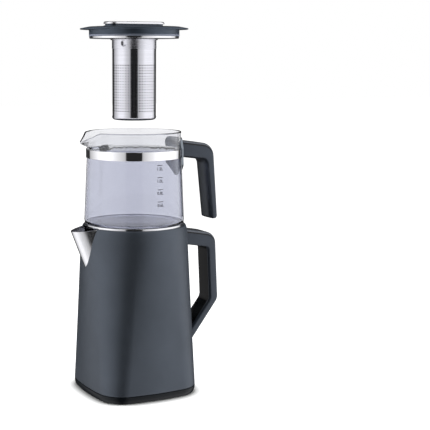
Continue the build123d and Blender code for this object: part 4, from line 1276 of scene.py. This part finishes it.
# ---------------------------------------------------------------- teapot
def beak_radius(angle: float, body: float, reach: float, tip: float) -> float:
    """Distance from the axis of a round outline with a pointed beak.

    Args:
        angle: Angle away from the spout's direction, in radians.
        body: Radius of the round body, which both flanks of the beak touch.
        reach: Distance of the unrounded tip from the axis.
        tip: Radius of the rounded tip.

    Returns:
        Radius of the outline at that angle.
    """
    away = abs(math.remainder(angle, FULL_TURN))
    flank = math.acos(body / reach) if reach > body * 1.0001 else 0.0
    if away >= flank:
        return body
    centre = reach - tip * reach / body
    if away < math.atan2(tip * math.sin(flank), centre + tip * math.cos(flank)):
        across = centre * math.sin(away)
        beak = centre * math.cos(away) + math.sqrt(max(tip * tip - across * across, 0.0))
    else:
        beak = body / math.cos(flank - away)
    return max(beak, body)


@dataclass
class Teapot:
    """Glass teapot: body with a pulled spout, chrome band, shield, handle and scale."""

    shop: Workshop
    wall: float = 1.8 * MM
    floor: float = 2.4 * MM
    foot_radius: float = 68.0 * MM
    foot_bend: float = 6.5 * MM
    neck: float = 64.2 * MM
    neck_height: float = 90.0 * MM
    neck_top: float = 102.5 * MM
    throat: float = 63.0 * MM
    rim_radius: float = 63.6 * MM
    spout_foot: float = 102.5 * MM
    spout_full: float = 112.5 * MM
    spout_reach: float = 81.0 * MM
    spout_tip: float = 6.0 * MM
    crown: float = 0.35 * MM
    foot_rows: int = 8
    side_rows: int = 20
    lip_rows: int = 18
    crease: float = 60.0
    band_gap: float = 0.1 * MM
    band_edge: float = 0.4 * MM

    def build(self) -> None:
        """Builds and dresses every piece of the teapot."""
        hand_in = self.shop.hand_in
        hand_in(self.glass(), "teapot", Finish.GLASS, "clear_glass", "teapot_glass")
        hand_in(self.band(), "teapot", Finish.BAND, "bright_chrome", "teapot_band")
        self.shop.dress_nodes(Finish.SHIELD, "teapot_shield")
        self.shop.dress_nodes(Finish.STEEL, "teapot_handle_screw")
        TeapotHandle(self.shop).build()
        VolumeScale(self.shop, self).build()

    def seat(self) -> float:
        """Level of the teapot's underside."""
        return box_of("teapot_glass")[0].z

    def height(self) -> float:
        """Height of the teapot's rim above its underside."""
        return box_of("teapot_glass")[1].z - self.seat()

    def round_radius(self, height: float) -> float:
        """Outer radius of the round glass at a height above its underside.

        Args:
            height: Height above the underside.

        Returns:
            The radius without the spout.
        """
        if height < self.foot_bend:
            drop = 1 - height / self.foot_bend
            return self.foot_radius - self.foot_bend * (1 - math.sqrt(max(1 - drop * drop, 0.0)))
        if height < self.neck_height:
            share = (height - self.foot_bend) / (self.neck_height - self.foot_bend)
            return self.foot_radius + (self.neck - self.foot_radius) * share
        if height < self.neck_top:
            return self.neck
        share = (height - self.neck_top) / (self.height() - self.neck_top)
        dip = 4 * share * (1 - share)
        straight = self.neck + (self.rim_radius - self.neck) * share
        return straight - (straight - self.throat) * dip

    def radius(self, angle: float, height: float, inset: float) -> float:
        """Radius of the glass with its spout.

        Args:
            angle: Angle away from the spout's direction.
            height: Height above the underside.
            inset: Distance inside the outer surface.

        Returns:
            The radius.
        """
        body = self.round_radius(height) - inset
        share = (height - self.spout_foot) / (self.spout_full - self.spout_foot)
        if share <= 0:
            return body
        share = min(share, 1.0)
        eased = share * share * (3 - 2 * share)
        reach = body + (self.spout_reach - inset - body) * eased
        return beak_radius(angle, body, reach, self.spout_tip - inset)

    def glass(self) -> Piece:
        """Thick glass body with a pulled spout and a rounded lip.

        Returns:
            The finished piece.
        """
        seat, angles = self.seat(), spout_angles()
        leans = [QUARTER_TURN * i / self.foot_rows for i in range(self.foot_rows + 1)]
        heights = [self.foot_bend * (1 - math.cos(lean)) for lean in leans]
        rise, rows = self.spout_foot - self.foot_bend, self.side_rows
        heights += [self.foot_bend + rise * (i + 1) / rows for i in range(rows)]

        def side(inset: float, floor: float) -> list[list[Point3]]:
            """Rows of one side of the glass, from the floor's middle up to the lip.

            Args:
                inset: Distance of the side from the outer surface.
                floor: Height of its floor above the underside.

            Returns:
                Rows with one point for each angle.
            """
            rows = [[(0.0, 0.0, seat + floor)] * len(angles)]
            for height in heights:
                level = seat + height + floor * max(1 - height / self.foot_bend, 0.0)
                radii = [self.radius(a, height, inset) for a in angles]
                rows.append([on_spout_side(a, radius, level) for a, radius in zip(angles, radii)])
            for i in range(self.lip_rows):
                rows.append([self.lip_point(a, (i + 1) / self.lip_rows, inset) for a in angles])
            return rows

        rings = side(0.0, 0.0)
        for share in (0.25, 0.75):
            rings.append([self.lip_point(a, 1.0, share * self.wall, self.crown) for a in angles])
        rings += side(self.wall, self.floor)[::-1]
        return lofted("teapot_glass_body", rings, self.crease)

    def lip_point(self, angle: float, share: float, inset: float, crown: float = 0.0) -> Point3:
        """Point between the neck and the lip.

        Args:
            angle: Angle away from the spout's direction.
            share: 0 at the spout's foot and 1 at the lip.
            inset: Distance inside the outer surface.
            crown: Extra height at the top of the lip.

        Returns:
            The point.
        """
        rim = self.height()
        full = self.radius(angle, rim, 0.0)
        start = self.throat - self.wall
        out = max(full * math.cos(angle) - start, 0.0) / (self.spout_reach - start)
        lean = max(full - self.rim_radius, 0.0) / (self.spout_reach - self.rim_radius)
        drop = (rim - self.spout_full) * out * min(lean * 3, 1.0)
        height = self.spout_foot + (rim - self.crown - drop - self.spout_foot) * share
        radius = self.radius(angle, height, inset)
        return on_spout_side(angle, radius, self.seat() + height + crown)

    def band(self) -> Piece:
        """Chrome band round the neck.

        Returns:
            The finished piece.
        """
        low, high = box_of("teapot_band")
        inner, outer = self.neck + self.band_gap, high.y
        corners = [
            (inner, low.z, TINY),
            (outer, low.z, self.band_edge),
            (outer, high.z, self.band_edge),
            (inner, high.z, TINY),
        ]
        return turned("teapot_chrome_band", corners)


@dataclass
class VolumeScale:
    """Printed scale on the glass: a line and a plain number for each volume."""

    shop: Workshop
    teapot: Teapot
    labels: tuple[str, ...] = ("1.2L", "1.0L", "0.8L", "0.6L")
    top_height: float = 84.0 * MM
    pitch: float = 15.9 * MM
    direction: float = math.radians(-84.7)
    letter_size: float = 5.6 * MM
    letter_weight: float = 0.1 * MM
    letter_drop: float = 1.6 * MM
    line_length: float = 8.0 * MM
    line_width: float = 0.8 * MM
    line_steps: int = 6
    proud: float = 0.06 * MM

    def build(self) -> None:
        """Prints every line and number and joins them into one piece."""
        maker, steps = bmesh.new(), self.line_steps
        places = [self.line_length * (i / steps - 0.5) for i in range(steps + 1)]
        for i, label in enumerate(self.labels):
            height = self.top_height - i * self.pitch
            levels = (height, height + self.line_width)
            rings = [[self.wrap(across, level) for across in places] for level in levels]
            loft(maker, rings, close_rings=False)
            self.print_label(maker, label, height - self.letter_drop)
        piece = finish_mesh("teapot_volume_scale", maker)
        self.shop.hand_in(piece, "teapot", Finish.INK, "dark_plastic")

    def wrap(self, across: float, height: float) -> Point3:
        """Place on the glass for a flat place of the print.

        Args:
            across: Distance to the right of the scale's middle.
            height: Height above the teapot's underside.

        Returns:
            The place.
        """
        radius = self.teapot.round_radius(height) + self.proud
        return around(radius, self.direction + across / radius, self.teapot.seat() + height)

    def print_label(self, maker: Maker, label: str, top: float) -> None:
        """Adds a mark's number.

        Args:
            maker: Mesh to add to.
            label: Text of the number.
            top: Height of its top above the teapot's underside.
        """
        text = bpy.data.curves.new("scale_text", "FONT")
        text.body = label
        text.size = self.letter_size
        text.offset = self.letter_weight
        text.align_x = "CENTER"
        text.align_y = "TOP"
        holder = bpy.data.objects.new("scale_text", text)
        bpy.context.scene.collection.objects.link(holder)
        bpy.context.view_layer.update()
        ready = holder.evaluated_get(bpy.context.evaluated_depsgraph_get())
        mesh = bpy.data.meshes.new_from_object(ready)
        verts = [maker.verts.new(self.wrap(v.co.x, top + v.co.y)) for v in mesh.vertices]
        for polygon in mesh.polygons:
            maker.faces.new([verts[i] for i in polygon.vertices])
        bpy.data.objects.remove(holder)
        bpy.data.meshes.remove(mesh)


# ---------------------------------------------------------------- lid
@dataclass
class Lid:
    """Lid: satin cover, seal, steel under ring, boss and knob."""

    shop: Workshop
    crest_height: float = 3.8 * MM
    crest_radius: float = 60.0 * MM
    disc_radius: float = 53.0 * MM
    disc_height: float = 1.8 * MM
    edge_thickness: float = 1.6 * MM
    skin: float = 1.6 * MM
    plug_wall: float = 3.0 * MM
    plug_radius: float = 60.3 * MM
    plug_depth: float = 6.3 * MM
    seal_width: float = 6.0 * MM
    seal_waist: float = 0.8 * MM
    pan_sheet: float = 0.8 * MM
    pan_step: float = 1.6 * MM
    pan_hole: float = 24.0 * MM
    gap: float = 0.1 * MM
    knob_length: float = 85.0 * MM
    knob_width: float = 29.0 * MM
    knob_corner: float = 12.0 * MM
    knob_steps: int = 14
    foot_height: float = 3.4 * MM
    foot_edge: float = 0.5 * MM
    groove_depth: float = 2.0 * MM
    trim_width: float = 3.6 * MM
    trim_bevel: float = 1.4 * MM
    trim_edge: float = 0.25 * MM
    cap_gap: float = 0.15 * MM
    cap_edge: float = 0.3 * MM
    cap_flat: float = 3.0 * MM

    def build(self) -> None:
        """Builds and dresses every piece of the lid."""
        hand_in = self.shop.hand_in
        hand_in(self.cover(), "lid", Finish.LID, "lid_grey", "lid_cover")
        hand_in(self.seal(), "lid", Finish.SILICONE, "silicone", "lid_seal")
        hand_in(self.under_ring(), "lid", Finish.RING, "steel", "lid_under_ring")
        hand_in(self.knob_foot(), "lid", Finish.LID, "lid_grey", "lid_knob")
        hand_in(self.trim(), "lid", Finish.TRIM, "bright_chrome", "lid_knob_trim")
        hand_in(self.cap(), "lid", Finish.COVER, "handle_cover_grey", "lid_knob_cap")
        self.shop.dress_nodes(Finish.DARK, "lid_boss")
        self.shop.dress_nodes(Finish.STEEL, "lid_screws", "lid_knob_screws")

    def cover(self) -> Piece:
        """Cover with a sloped rim, a crest, a recessed disc and the plug's wall.

        Returns:
            The finished piece.
        """
        radius, plug_foot = box_of("lid_cover")[1].y, box_of("lid_seal")[1].z
        flange = plug_foot + self.plug_depth
        disc, crest = flange + self.disc_height, flange + self.crest_height
        plug, inner = self.plug_radius, self.plug_radius - self.plug_wall
        corners = [
            (TINY, disc, TINY),
            (self.disc_radius, disc, 0.5 * MM),
            (self.crest_radius - 2.0 * MM, crest, 0.8 * MM),
            (self.crest_radius + 1.0 * MM, crest, 1.5 * MM),
            (radius, flange + self.edge_thickness, 0.6 * MM),
            (radius, flange, 0.6 * MM),
            (plug, flange, 0.8 * MM),
            (plug, plug_foot, 0.5 * MM),
            (inner, plug_foot, 0.4 * MM),
            (inner, disc - self.skin, 0.4 * MM),
            (TINY, disc - self.skin, TINY),
        ]
        return turned("lid_top_cover", corners, FINE_CREASE)

    def seal(self) -> Piece:
        """Silicone ring with two lips.

        Returns:
            The finished piece.
        """
        low, high = box_of("lid_seal")
        inner, outer = high.x - self.seal_width, high.x
        corners = [
            (inner, low.z, TINY),
            (outer, low.z, 0.5 * MM),
            (outer - self.seal_waist, (low.z + high.z) / 2, 0.4 * MM),
            (outer, high.z, 0.5 * MM),
            (inner, high.z, TINY),
        ]
        return turned("lid_silicone_seal", corners)

    def under_ring(self) -> Piece:
        """Steel pan under the seal with a step round the boss.

        Returns:
            The finished piece.
        """
        low, high = box_of("lid_under_ring")
        outer, sheet = high.x, self.pan_sheet
        flange = box_of("lid_boss")[1].x + self.gap
        step = low.z + self.pan_step
        corners = [
            (outer, low.z, 0.9 * MM),
            (outer, high.z, 0.2 * MM),
            (outer - sheet, high.z, 0.2 * MM),
            (outer - sheet, low.z + sheet, 0.4 * MM),
            (flange + sheet, low.z + sheet, 0.3 * MM),
            (flange + sheet, step + sheet, 0.3 * MM),
            (self.pan_hole, step + sheet, 0.2 * MM),
            (self.pan_hole, step, 0.2 * MM),
            (flange, step, 0.3 * MM),
            (flange, low.z, 0.3 * MM),
        ]
        return turned("lid_steel_ring", corners)

    def stack(self, name: str, section: Sequence[Point2], closed: bool) -> Piece:
        """Solid that follows the knob's oblong with a section of inset and level.

        Args:
            name: Name of the piece.
            section: Pairs of inset and level, in order.
            closed: Joins the section's end to its start, as for a ring.

        Returns:
            The piece.
        """
        x, y, bend = self.knob_length / 2, self.knob_width / 2, self.knob_corner
        oblong = [(-x, -y, bend), (x, -y, bend), (x, y, bend), (-x, y, bend)]
        rings = [
            [(p.x, p.y, level) for p in rounded_outline(oblong, inset, self.knob_steps)]
            for inset, level in section
        ]
        return lofted(name, rings, close_loft=closed, cap=not closed)

    def knob_foot(self) -> Piece:
        """Foot of the knob, the dark groove above it and the core.

        Returns:
            The finished piece.
        """
        low, high = box_of("lid_knob")
        trim_low = box_of("lid_knob_trim")[0].z
        top, edge, core = low.z + self.foot_height, self.foot_edge, self.trim_width + self.gap
        section = [
            (0.0, low.z),
            (0.0, top - edge),
            (edge * 0.3, top - edge * 0.3),
            (edge, top),
            (self.groove_depth, top),
            (self.groove_depth, trim_low),
            (core, trim_low),
            (core, high.z),
        ]
        return self.stack("lid_knob_foot", section, False)

    def trim(self) -> Piece:
        """Chrome ring with a bevelled outer edge.

        Returns:
            The finished piece.
        """
        low, high = levels_of("lid_knob_trim")
        bevel, width, soft = self.trim_bevel, self.trim_width, self.trim_edge
        section = [
            (0.0, low),
            (0.0, high - bevel - soft),
            (soft * 0.5, high - bevel + soft * 0.3),
            (bevel - soft, high - soft * 0.5),
            (bevel + soft, high),
            (width - soft, high),
            (width, high - soft),
            (width, low),
        ]
        return self.stack("lid_knob_chrome_ring", section, True)

    def cap(self) -> Piece:
        """Cap inside the chrome ring.

        Returns:
            The finished piece.
        """
        low, high = levels_of("lid_knob_cap")
        start, soft = self.trim_width + self.cap_gap, self.cap_edge
        section = [
            (start, low),
            (start, high - soft),
            (start + soft * 0.3, high - soft * 0.3),
            (start + soft, high),
            (start + self.cap_flat, high),
        ]
        return self.stack("lid_knob_top_cap", section, False)


# ---------------------------------------------------------------- infuser
@dataclass
class Infuser:
    """Infuser: collar with dimples, perforated tube with a dark sheet of painted shade inside it,
    perforated bottom.
    """

    shop: Workshop
    sheet: float = 0.6 * MM
    rows: int = 18
    columns: int = 48
    hole_width: float = 2.1 * MM
    hole_height: float = 1.25 * MM
    hole_nick: float = 0.1375
    field_top: float = 73.9 * MM
    pitch: float = 3.55 * MM
    shade_sheet_gap: float = 0.15 * MM
    shade_sheet_thickness: float = 0.25 * MM
    shade_sheet_margin: float = 1.0 * MM
    corner: float = 4.0 * MM
    sieve_share: float = 0.9
    sieve_rings: int = 6
    sieve_coarse: int = 3
    sieve_hole: float = 1.5 * MM
    sieve_first: float = 1.25 * MM
    collar_gap: float = 0.4 * MM
    collar_steps: int = 360
    collar_step: float = 0.5 * MM
    collar_crease: float = 50.0
    rim_height: float = 1.5 * MM
    dimple_angle: float = math.radians(-23.4)
    dimple_radius: float = 5.6 * MM
    dimple_depth: float = 2.0 * MM
    dimple_drop: float = 6.0 * MM

    def build(self) -> None:
        """Builds and dresses every piece of the infuser."""
        hand_in = self.shop.hand_in
        hand_in(self.tube(), "infuser", Finish.INFUSER, "steel", "infuser_tube")
        hand_in(self.shade_sheet(), "infuser", Finish.MESH, "steel")
        hand_in(self.collar(), "infuser", Finish.COLLAR, "steel", "infuser_collar")
        hand_in(self.bottom(), "infuser", Finish.INFUSER, "steel", "infuser_base")

    def tube(self) -> Piece:
        """Tube with rows of small oblong holes all round.

        Returns:
            The finished piece.
        """
        low, high = box_of("infuser_tube")
        radius = high.x
        top = box_of("infuser_base")[0].z + self.field_top
        foot = top - self.rows * self.pitch
        maker = bmesh.new()
        for ends in ((low.z, foot), (top, high.z)):
            loft(maker, [circle(radius, level, 2 * self.columns) for level in ends])
        for row in range(self.rows):
            for column in range(self.columns):
                angle = FULL_TURN * (column + 0.5) / self.columns
                self.perforate(maker, radius, angle, foot + self.pitch * (row + 0.5))
        return thickened("infuser_perforated_tube", maker, self.sheet)

    def shade_sheet(self) -> Piece:
        """Dark solid sheet inside the tube: painted shade that hides the holes on the far side.

        Returns:
            The finished piece.
        """
        low, high = box_of("infuser_tube")
        outer = high.x - self.sheet - self.shade_sheet_gap
        inner = outer - self.shade_sheet_thickness
        foot, top, bend = low.z + self.shade_sheet_margin, high.z - self.shade_sheet_margin, 0.1 * MM
        corners = [(inner, foot, bend), (outer, foot, bend), (outer, top, bend), (inner, top, bend)]
        return turned("infuser_painted_shade_sheet", corners)

    def perforate(
        self, maker: Maker, radius: float, angle: float, level: float
    ) -> None:
        """Adds one panel of the tube with a small oblong hole in its middle.

        Args:
            maker: Mesh to add to.
            radius: Radius of the tube.
            angle: Angle of the panel's middle.
            level: Height of the panel's middle.
        """
        signs = [(-1, -1), (0, -1), (1, -1), (1, 0), (1, 1), (0, 1), (-1, 1), (-1, 0)]

        def outline(half_angle: float, half_height: float, nick: float) -> list[Point3]:
            """Oblong round the panel's middle whose corners are drawn in by a share.

            Args:
                half_angle: Half the width, as an angle about the axis.
                half_height: Half the height.
                nick: Share by which the corners are drawn in.

            Returns:
                Points of the oblong, in order.
            """
            bows = [1.0 if 0 in sign else 1.0 - nick for sign in signs]
            return [
                around(radius, angle + half_angle * i * bow, level + half_height * j * bow)
                for (i, j), bow in zip(signs, bows)
            ]

        hole = outline(self.hole_width / 2 / radius, self.hole_height / 2, self.hole_nick)
        loft(maker, [outline(math.pi / self.columns, self.pitch / 2, 0.0), hole])

    def collar(self) -> Piece:
        """Collar with a rolled rim and round dimples.

        Returns:
            The finished piece.
        """
        low, high = box_of("infuser_collar")
        outer = box_of("infuser_tube")[1].x + self.collar_gap
        inner, rim, shelf = outer - self.sheet, high.x, high.z - self.rim_height
        corners = [
            (inner, low.z, 0.2 * MM),
            (outer, low.z, 0.25 * MM),
            (outer, shelf, 0.4 * MM),
            (rim, shelf, 0.6 * MM),
            (rim, high.z, 0.6 * MM),
            (inner, high.z, 0.3 * MM),
        ]
        outline = rounded_outline(corners)
        angles = [FULL_TURN * i / self.collar_steps for i in range(self.collar_steps)]
        middle = high.z - self.dimple_drop
        rings = []
        for point, after in zip(outline, outline[1:] + outline[:1]):
            count = max(int((after - point).length / self.collar_step), 1)
            for i in range(count):
                place = point.lerp(after, i / count)
                rings.append([self.dented(place, a, middle, outer) for a in angles])
        return lofted("infuser_dimpled_collar", rings, self.collar_crease, close_loft=True)

    def dented(self, point: Vector, angle: float, middle: float, outer: float) -> Point3:
        """Point of the collar, pushed inwards inside a dimple.

        Args:
            point: Radius and height on the collar's section.
            angle: Angle around the axis.
            middle: Height of the dimples' middles.
            outer: Outer radius of the collar.

        Returns:
            The place.
        """
        away = math.remainder(angle - self.dimple_angle, FULL_TURN / 3)
        distance = math.hypot(outer * away, point.y - middle)
        proud = self.dimple_radius - self.dimple_depth
        dent = 0.0
        if distance < math.sqrt(self.dimple_radius**2 - proud**2):
            dent = math.sqrt(self.dimple_radius**2 - distance**2) - proud
        return around(point.x - dent, angle, point.y)

    def bottom(self) -> Piece:
        """Bottom cup with a rounded edge and rings of small holes.

        Returns:
            The finished piece.
        """
        low, high = box_of("infuser_base")
        flat, steps = high.x - self.corner, 2 * self.columns
        rings = [circle(flat * self.sieve_share, low.z, steps)]
        for i in range(BEND_STEPS + 1):
            lean = QUARTER_TURN * i / BEND_STEPS
            level = low.z + self.corner * (1 - math.cos(lean))
            rings.append(circle(flat + self.corner * math.sin(lean), level, steps))
        maker = bmesh.new()
        loft(maker, rings)
        self.sieve(maker, flat * self.sieve_share, low.z, steps)
        return thickened("infuser_perforated_bottom", maker, self.sheet)

    def sieve(self, maker: Maker, radius: float, level: float, steps: int) -> None:
        """Adds the flat floor with rings of small holes.

        Args:
            maker: Mesh to add to.
            radius: Radius of the flat floor.
            level: Height of the floor.
            steps: Points on its outer edge.
        """
        band = radius / (self.sieve_rings + 1)
        for ring in range(self.sieve_rings):
            inner, outer = band * (ring + 1), band * (ring + 2)
            per_cell = 4 if ring < self.sieve_coarse else 2
            width = FULL_TURN * per_cell / steps
            size = (self.sieve_hole if ring > 0 else self.sieve_first) / 2
            shares = [k / per_cell for k in range(per_cell + 1)]
            for cell in range(steps // per_cell):
                start = width * cell
                edge = [around(outer, start + width * share, level) for share in shares]
                edge += [around(inner, start + width * (1 - share), level) for share in shares]
                middle = Vector(around((inner + outer) / 2, start + width / 2, level))
                hole = [middle + (Vector(p) - middle).normalized() * size for p in edge]
                loft(maker, [edge, [tuple(p) for p in hole]])
        maker.faces.new([maker.verts.new(point) for point in circle(band, level, steps)])


# ---------------------------------------------------------------- studio
@dataclass
class Studio:
    """Pale floor, soft lamps, bright surroundings and the camera."""

    turn: float = math.radians(-26.0)
    distance: float = 1.485
    height: float = 0.458
    pitch: float = math.radians(8.276)
    lens: float = 92.1
    sensor: float = 36.0
    sight: float = 40.0
    sideways: float = 0.188
    floor_size: float = 8.0
    floor_glow: float = 0.8
    floor_colour: Colour = (0.75, 0.76, 0.75)
    # Reach, range and samples of the painted contact shadow on the floor.
    painted_shadow_reach: float = 19.0 * MM
    painted_shadow_range: Point2 = (0.5, 0.92)
    painted_shadow_samples: int = 16
    ambient: float = 0.22
    side_size: Point2 = (0.5, 1.5)
    side_power: float = 14.0
    side_distance: float = 1.3
    side_height: float = 0.5
    side_aim: float = 0.25
    top_size: Point2 = (1.6, 1.6)
    top_power: float = 9.0
    top_height: float = 2.2
    screen_blue: float = 1.02
    screens: tuple[Point2, ...] = (
        (-180.0, 0.1),
        (-150.0, 0.04),
        (-133.0, 0.03),
        (-129.0, 0.5),
        (-104.0, 0.92),
        (-85.0, 1.25),
        (-60.0, 1.25),
        (-40.0, 0.85),
        (-24.0, 0.62),
        (-20.0, 0.5),
        (-18.5, 0.02),
        (18.5, 0.02),
        (20.0, 0.5),
        (24.0, 0.62),
        (34.0, 0.8),
        (44.0, 0.92),
        (60.0, 1.25),
        (108.0, 1.25),
        (128.0, 0.8),
        (133.0, 0.05),
        (150.0, 0.05),
        (180.0, 0.1),
    )

    def build(self) -> None:
        """Sets up everything around the tea maker."""
        self.camera()
        self.world()
        self.floor()
        for side in (-1, 1):
            place = self.towards(side * QUARTER_TURN) * self.side_distance
            place += Vector((0.0, 0.0, self.side_height))
            aim = Vector((0.0, 0.0, self.side_aim)) - place
            lamp = self.lamp(f"soft_lamp_{side}", self.side_size, self.side_power, place)
            lamp.rotation_euler = aim.to_track_quat("-Z", "Y").to_euler()
        overhead = Vector((0.0, 0.0, self.top_height))
        self.lamp("soft_lamp_top", self.top_size, self.top_power, overhead)

    def towards(self, angle: float) -> Vector:
        """Level direction from the object at an angle round from the camera's side."""
        a = self.turn + angle
        return Vector((math.sin(a), -math.cos(a), 0.0))

    def camera(self) -> None:
        """Camera level with the lid's lower half, looking slightly down."""
        data = bpy.data.cameras.new("camera")
        data.sensor_width = self.sensor
        data.lens = self.lens
        data.shift_x = self.sideways
        data.clip_end = self.sight
        holder = bpy.data.objects.new("camera", data)
        holder.location = self.towards(0.0) * self.distance + Vector((0.0, 0.0, self.height))
        holder.rotation_euler = (QUARTER_TURN - self.pitch, 0.0, self.turn)
        bpy.context.scene.collection.objects.link(holder)
        bpy.context.scene.camera = holder

    def world(self) -> None:
        """White surroundings for the camera, and bright screens with a dark gap for metal."""
        world = bpy.data.worlds.new("studio")
        bpy.context.scene.world = world
        world.use_nodes = True
        graph = Graph(world.node_tree)
        path = graph.add("ShaderNodeLightPath").outputs
        place = graph.add("ShaderNodeTexCoord").outputs["Generated"]
        right, ahead = (
            graph.add("ShaderNodeVectorMath", {0: place, 1: axis}, operation="DOT_PRODUCT")
            for axis in (self.towards(QUARTER_TURN), self.towards(0.0))
        )
        inputs = {0: right.outputs["Value"], 1: ahead.outputs["Value"]}
        angle = graph.add("ShaderNodeMath", inputs, operation="ARCTAN2").outputs["Value"]
        inputs = {0: angle, 1: 1 / FULL_TURN, 2: 0.5}
        share = graph.add("ShaderNodeMath", inputs, operation="MULTIPLY_ADD").outputs["Value"]
        ramp = graph.add("ShaderNodeValToRGB", {"Fac": share})
        while len(ramp.color_ramp.elements) < len(self.screens):
            ramp.color_ramp.elements.new(0.5)
        for element, (degrees, value) in zip(ramp.color_ramp.elements, self.screens):
            element.position = degrees / 360 + 0.5
            element.color = (value, value, value * self.screen_blue, 1.0)
        soft, bright, screens = (
            graph.add("ShaderNodeBackground", {"Color": colour, "Strength": strength}).outputs[0]
            for colour, strength in (
                (WHITE, self.ambient),
                (WHITE, 1.0),
                (ramp.outputs["Color"], 1.0),
            )
        )
        inputs = {0: path["Is Camera Ray"], 1: path["Is Transmission Ray"]}
        seen = graph.add("ShaderNodeMath", inputs, operation="MAXIMUM").outputs["Value"]
        inputs = {"Fac": path["Is Glossy Ray"], 1: soft, 2: screens}
        hidden = graph.add("ShaderNodeMixShader", inputs).outputs["Shader"]
        shown = graph.add("ShaderNodeMixShader", {"Fac": seen, 1: hidden, 2: bright})
        graph.add("ShaderNodeOutputWorld", {"Surface": shown.outputs["Shader"]})

    def floor(self) -> None:
        """White floor whose glow dims near the object by ambient occlusion, a painted contact
        shadow, over its diffuse shading.
        """
        maker = bmesh.new()
        half = self.floor_size
        corners = [(-half, -half, 0.0), (half, -half, 0.0), (half, half, 0.0), (-half, half, 0.0)]
        maker.faces.new([maker.verts.new(corner) for corner in corners])
        piece = finish_mesh("floor", maker)
        piece.location.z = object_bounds()[0].z
        material = bpy.data.materials.new("pale_floor")
        material.use_nodes = True
        graph = Graph(material.node_tree)
        path = graph.add("ShaderNodeLightPath").outputs
        inputs = {"Color": (*self.floor_colour, 1.0)}
        diffuse = graph.add("ShaderNodeBsdfDiffuse", inputs).outputs["BSDF"]
        # Painted contact shadow: ambient occlusion dims the floor's glow for camera rays near the
        # object.
        painted_shadow_ao = graph.add("ShaderNodeAmbientOcclusion", {"Distance": self.painted_shadow_reach})
        painted_shadow_ao.samples = self.painted_shadow_samples
        low, high = self.painted_shadow_range
        inputs = {"Value": painted_shadow_ao.outputs["AO"], "From Min": low, "From Max": high}
        open_share = graph.add("ShaderNodeMapRange", inputs).outputs["Result"]
        inputs = {0: path["Is Camera Ray"], 1: open_share}
        seen = graph.add("ShaderNodeMath", inputs, operation="MULTIPLY").outputs["Value"]
        inputs = {0: path["Is Transmission Ray"], 1: self.floor_glow, 2: seen}
        strength = graph.add("ShaderNodeMath", inputs, operation="MULTIPLY_ADD").outputs["Value"]
        glow = graph.add("ShaderNodeEmission", {"Strength": strength}).outputs["Emission"]
        both = graph.add("ShaderNodeAddShader", {0: diffuse, 1: glow}).outputs["Shader"]
        clear = graph.add("ShaderNodeBsdfTransparent").outputs["BSDF"]
        chosen = graph.add("ShaderNodeMixShader", {"Fac": path["Is Glossy Ray"], 1: both, 2: clear})
        graph.add("ShaderNodeOutputMaterial", {"Surface": chosen.outputs["Shader"]})
        piece.data.materials.append(material)
        piece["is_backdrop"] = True

    def lamp(self, name: str, size: Point2, power: float, place: Vector) -> Piece:
        """Soft lamp that neither metal nor glass shows.

        Args:
            name: Name of the lamp.
            size: Width and height of its face.
            power: Power in watts.
            place: Where it hangs.

        Returns:
            The lamp, facing down.
        """
        data = bpy.data.lights.new(name, "AREA")
        data.shape = "RECTANGLE"
        data.size, data.size_y = size
        data.energy = power
        holder = bpy.data.objects.new(name, data)
        holder.location = place
        holder.visible_glossy = False
        holder.visible_transmission = False
        bpy.context.scene.collection.objects.link(holder)
        return holder


def main() -> None:
    """Builds the tea maker around its frame, sets up the studio and logs how many pieces were
    built.
    """
    logging.basicConfig(level=logging.INFO, format="%(name)s: %(message)s")
    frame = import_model()
    bpy.context.scene.view_settings.view_transform = "Standard"
    shop = Workshop(Palette(), frame["nodes"])
    assemblies: list[Any] = [PowerBase(shop), Kettle(shop), Teapot(shop), Lid(shop), Infuser(shop)]
    for assembly in assemblies:
        assembly.build()
    Studio().build()
    log.info("%d pieces built", shop.count)


if __name__ == "__main__":
    main()
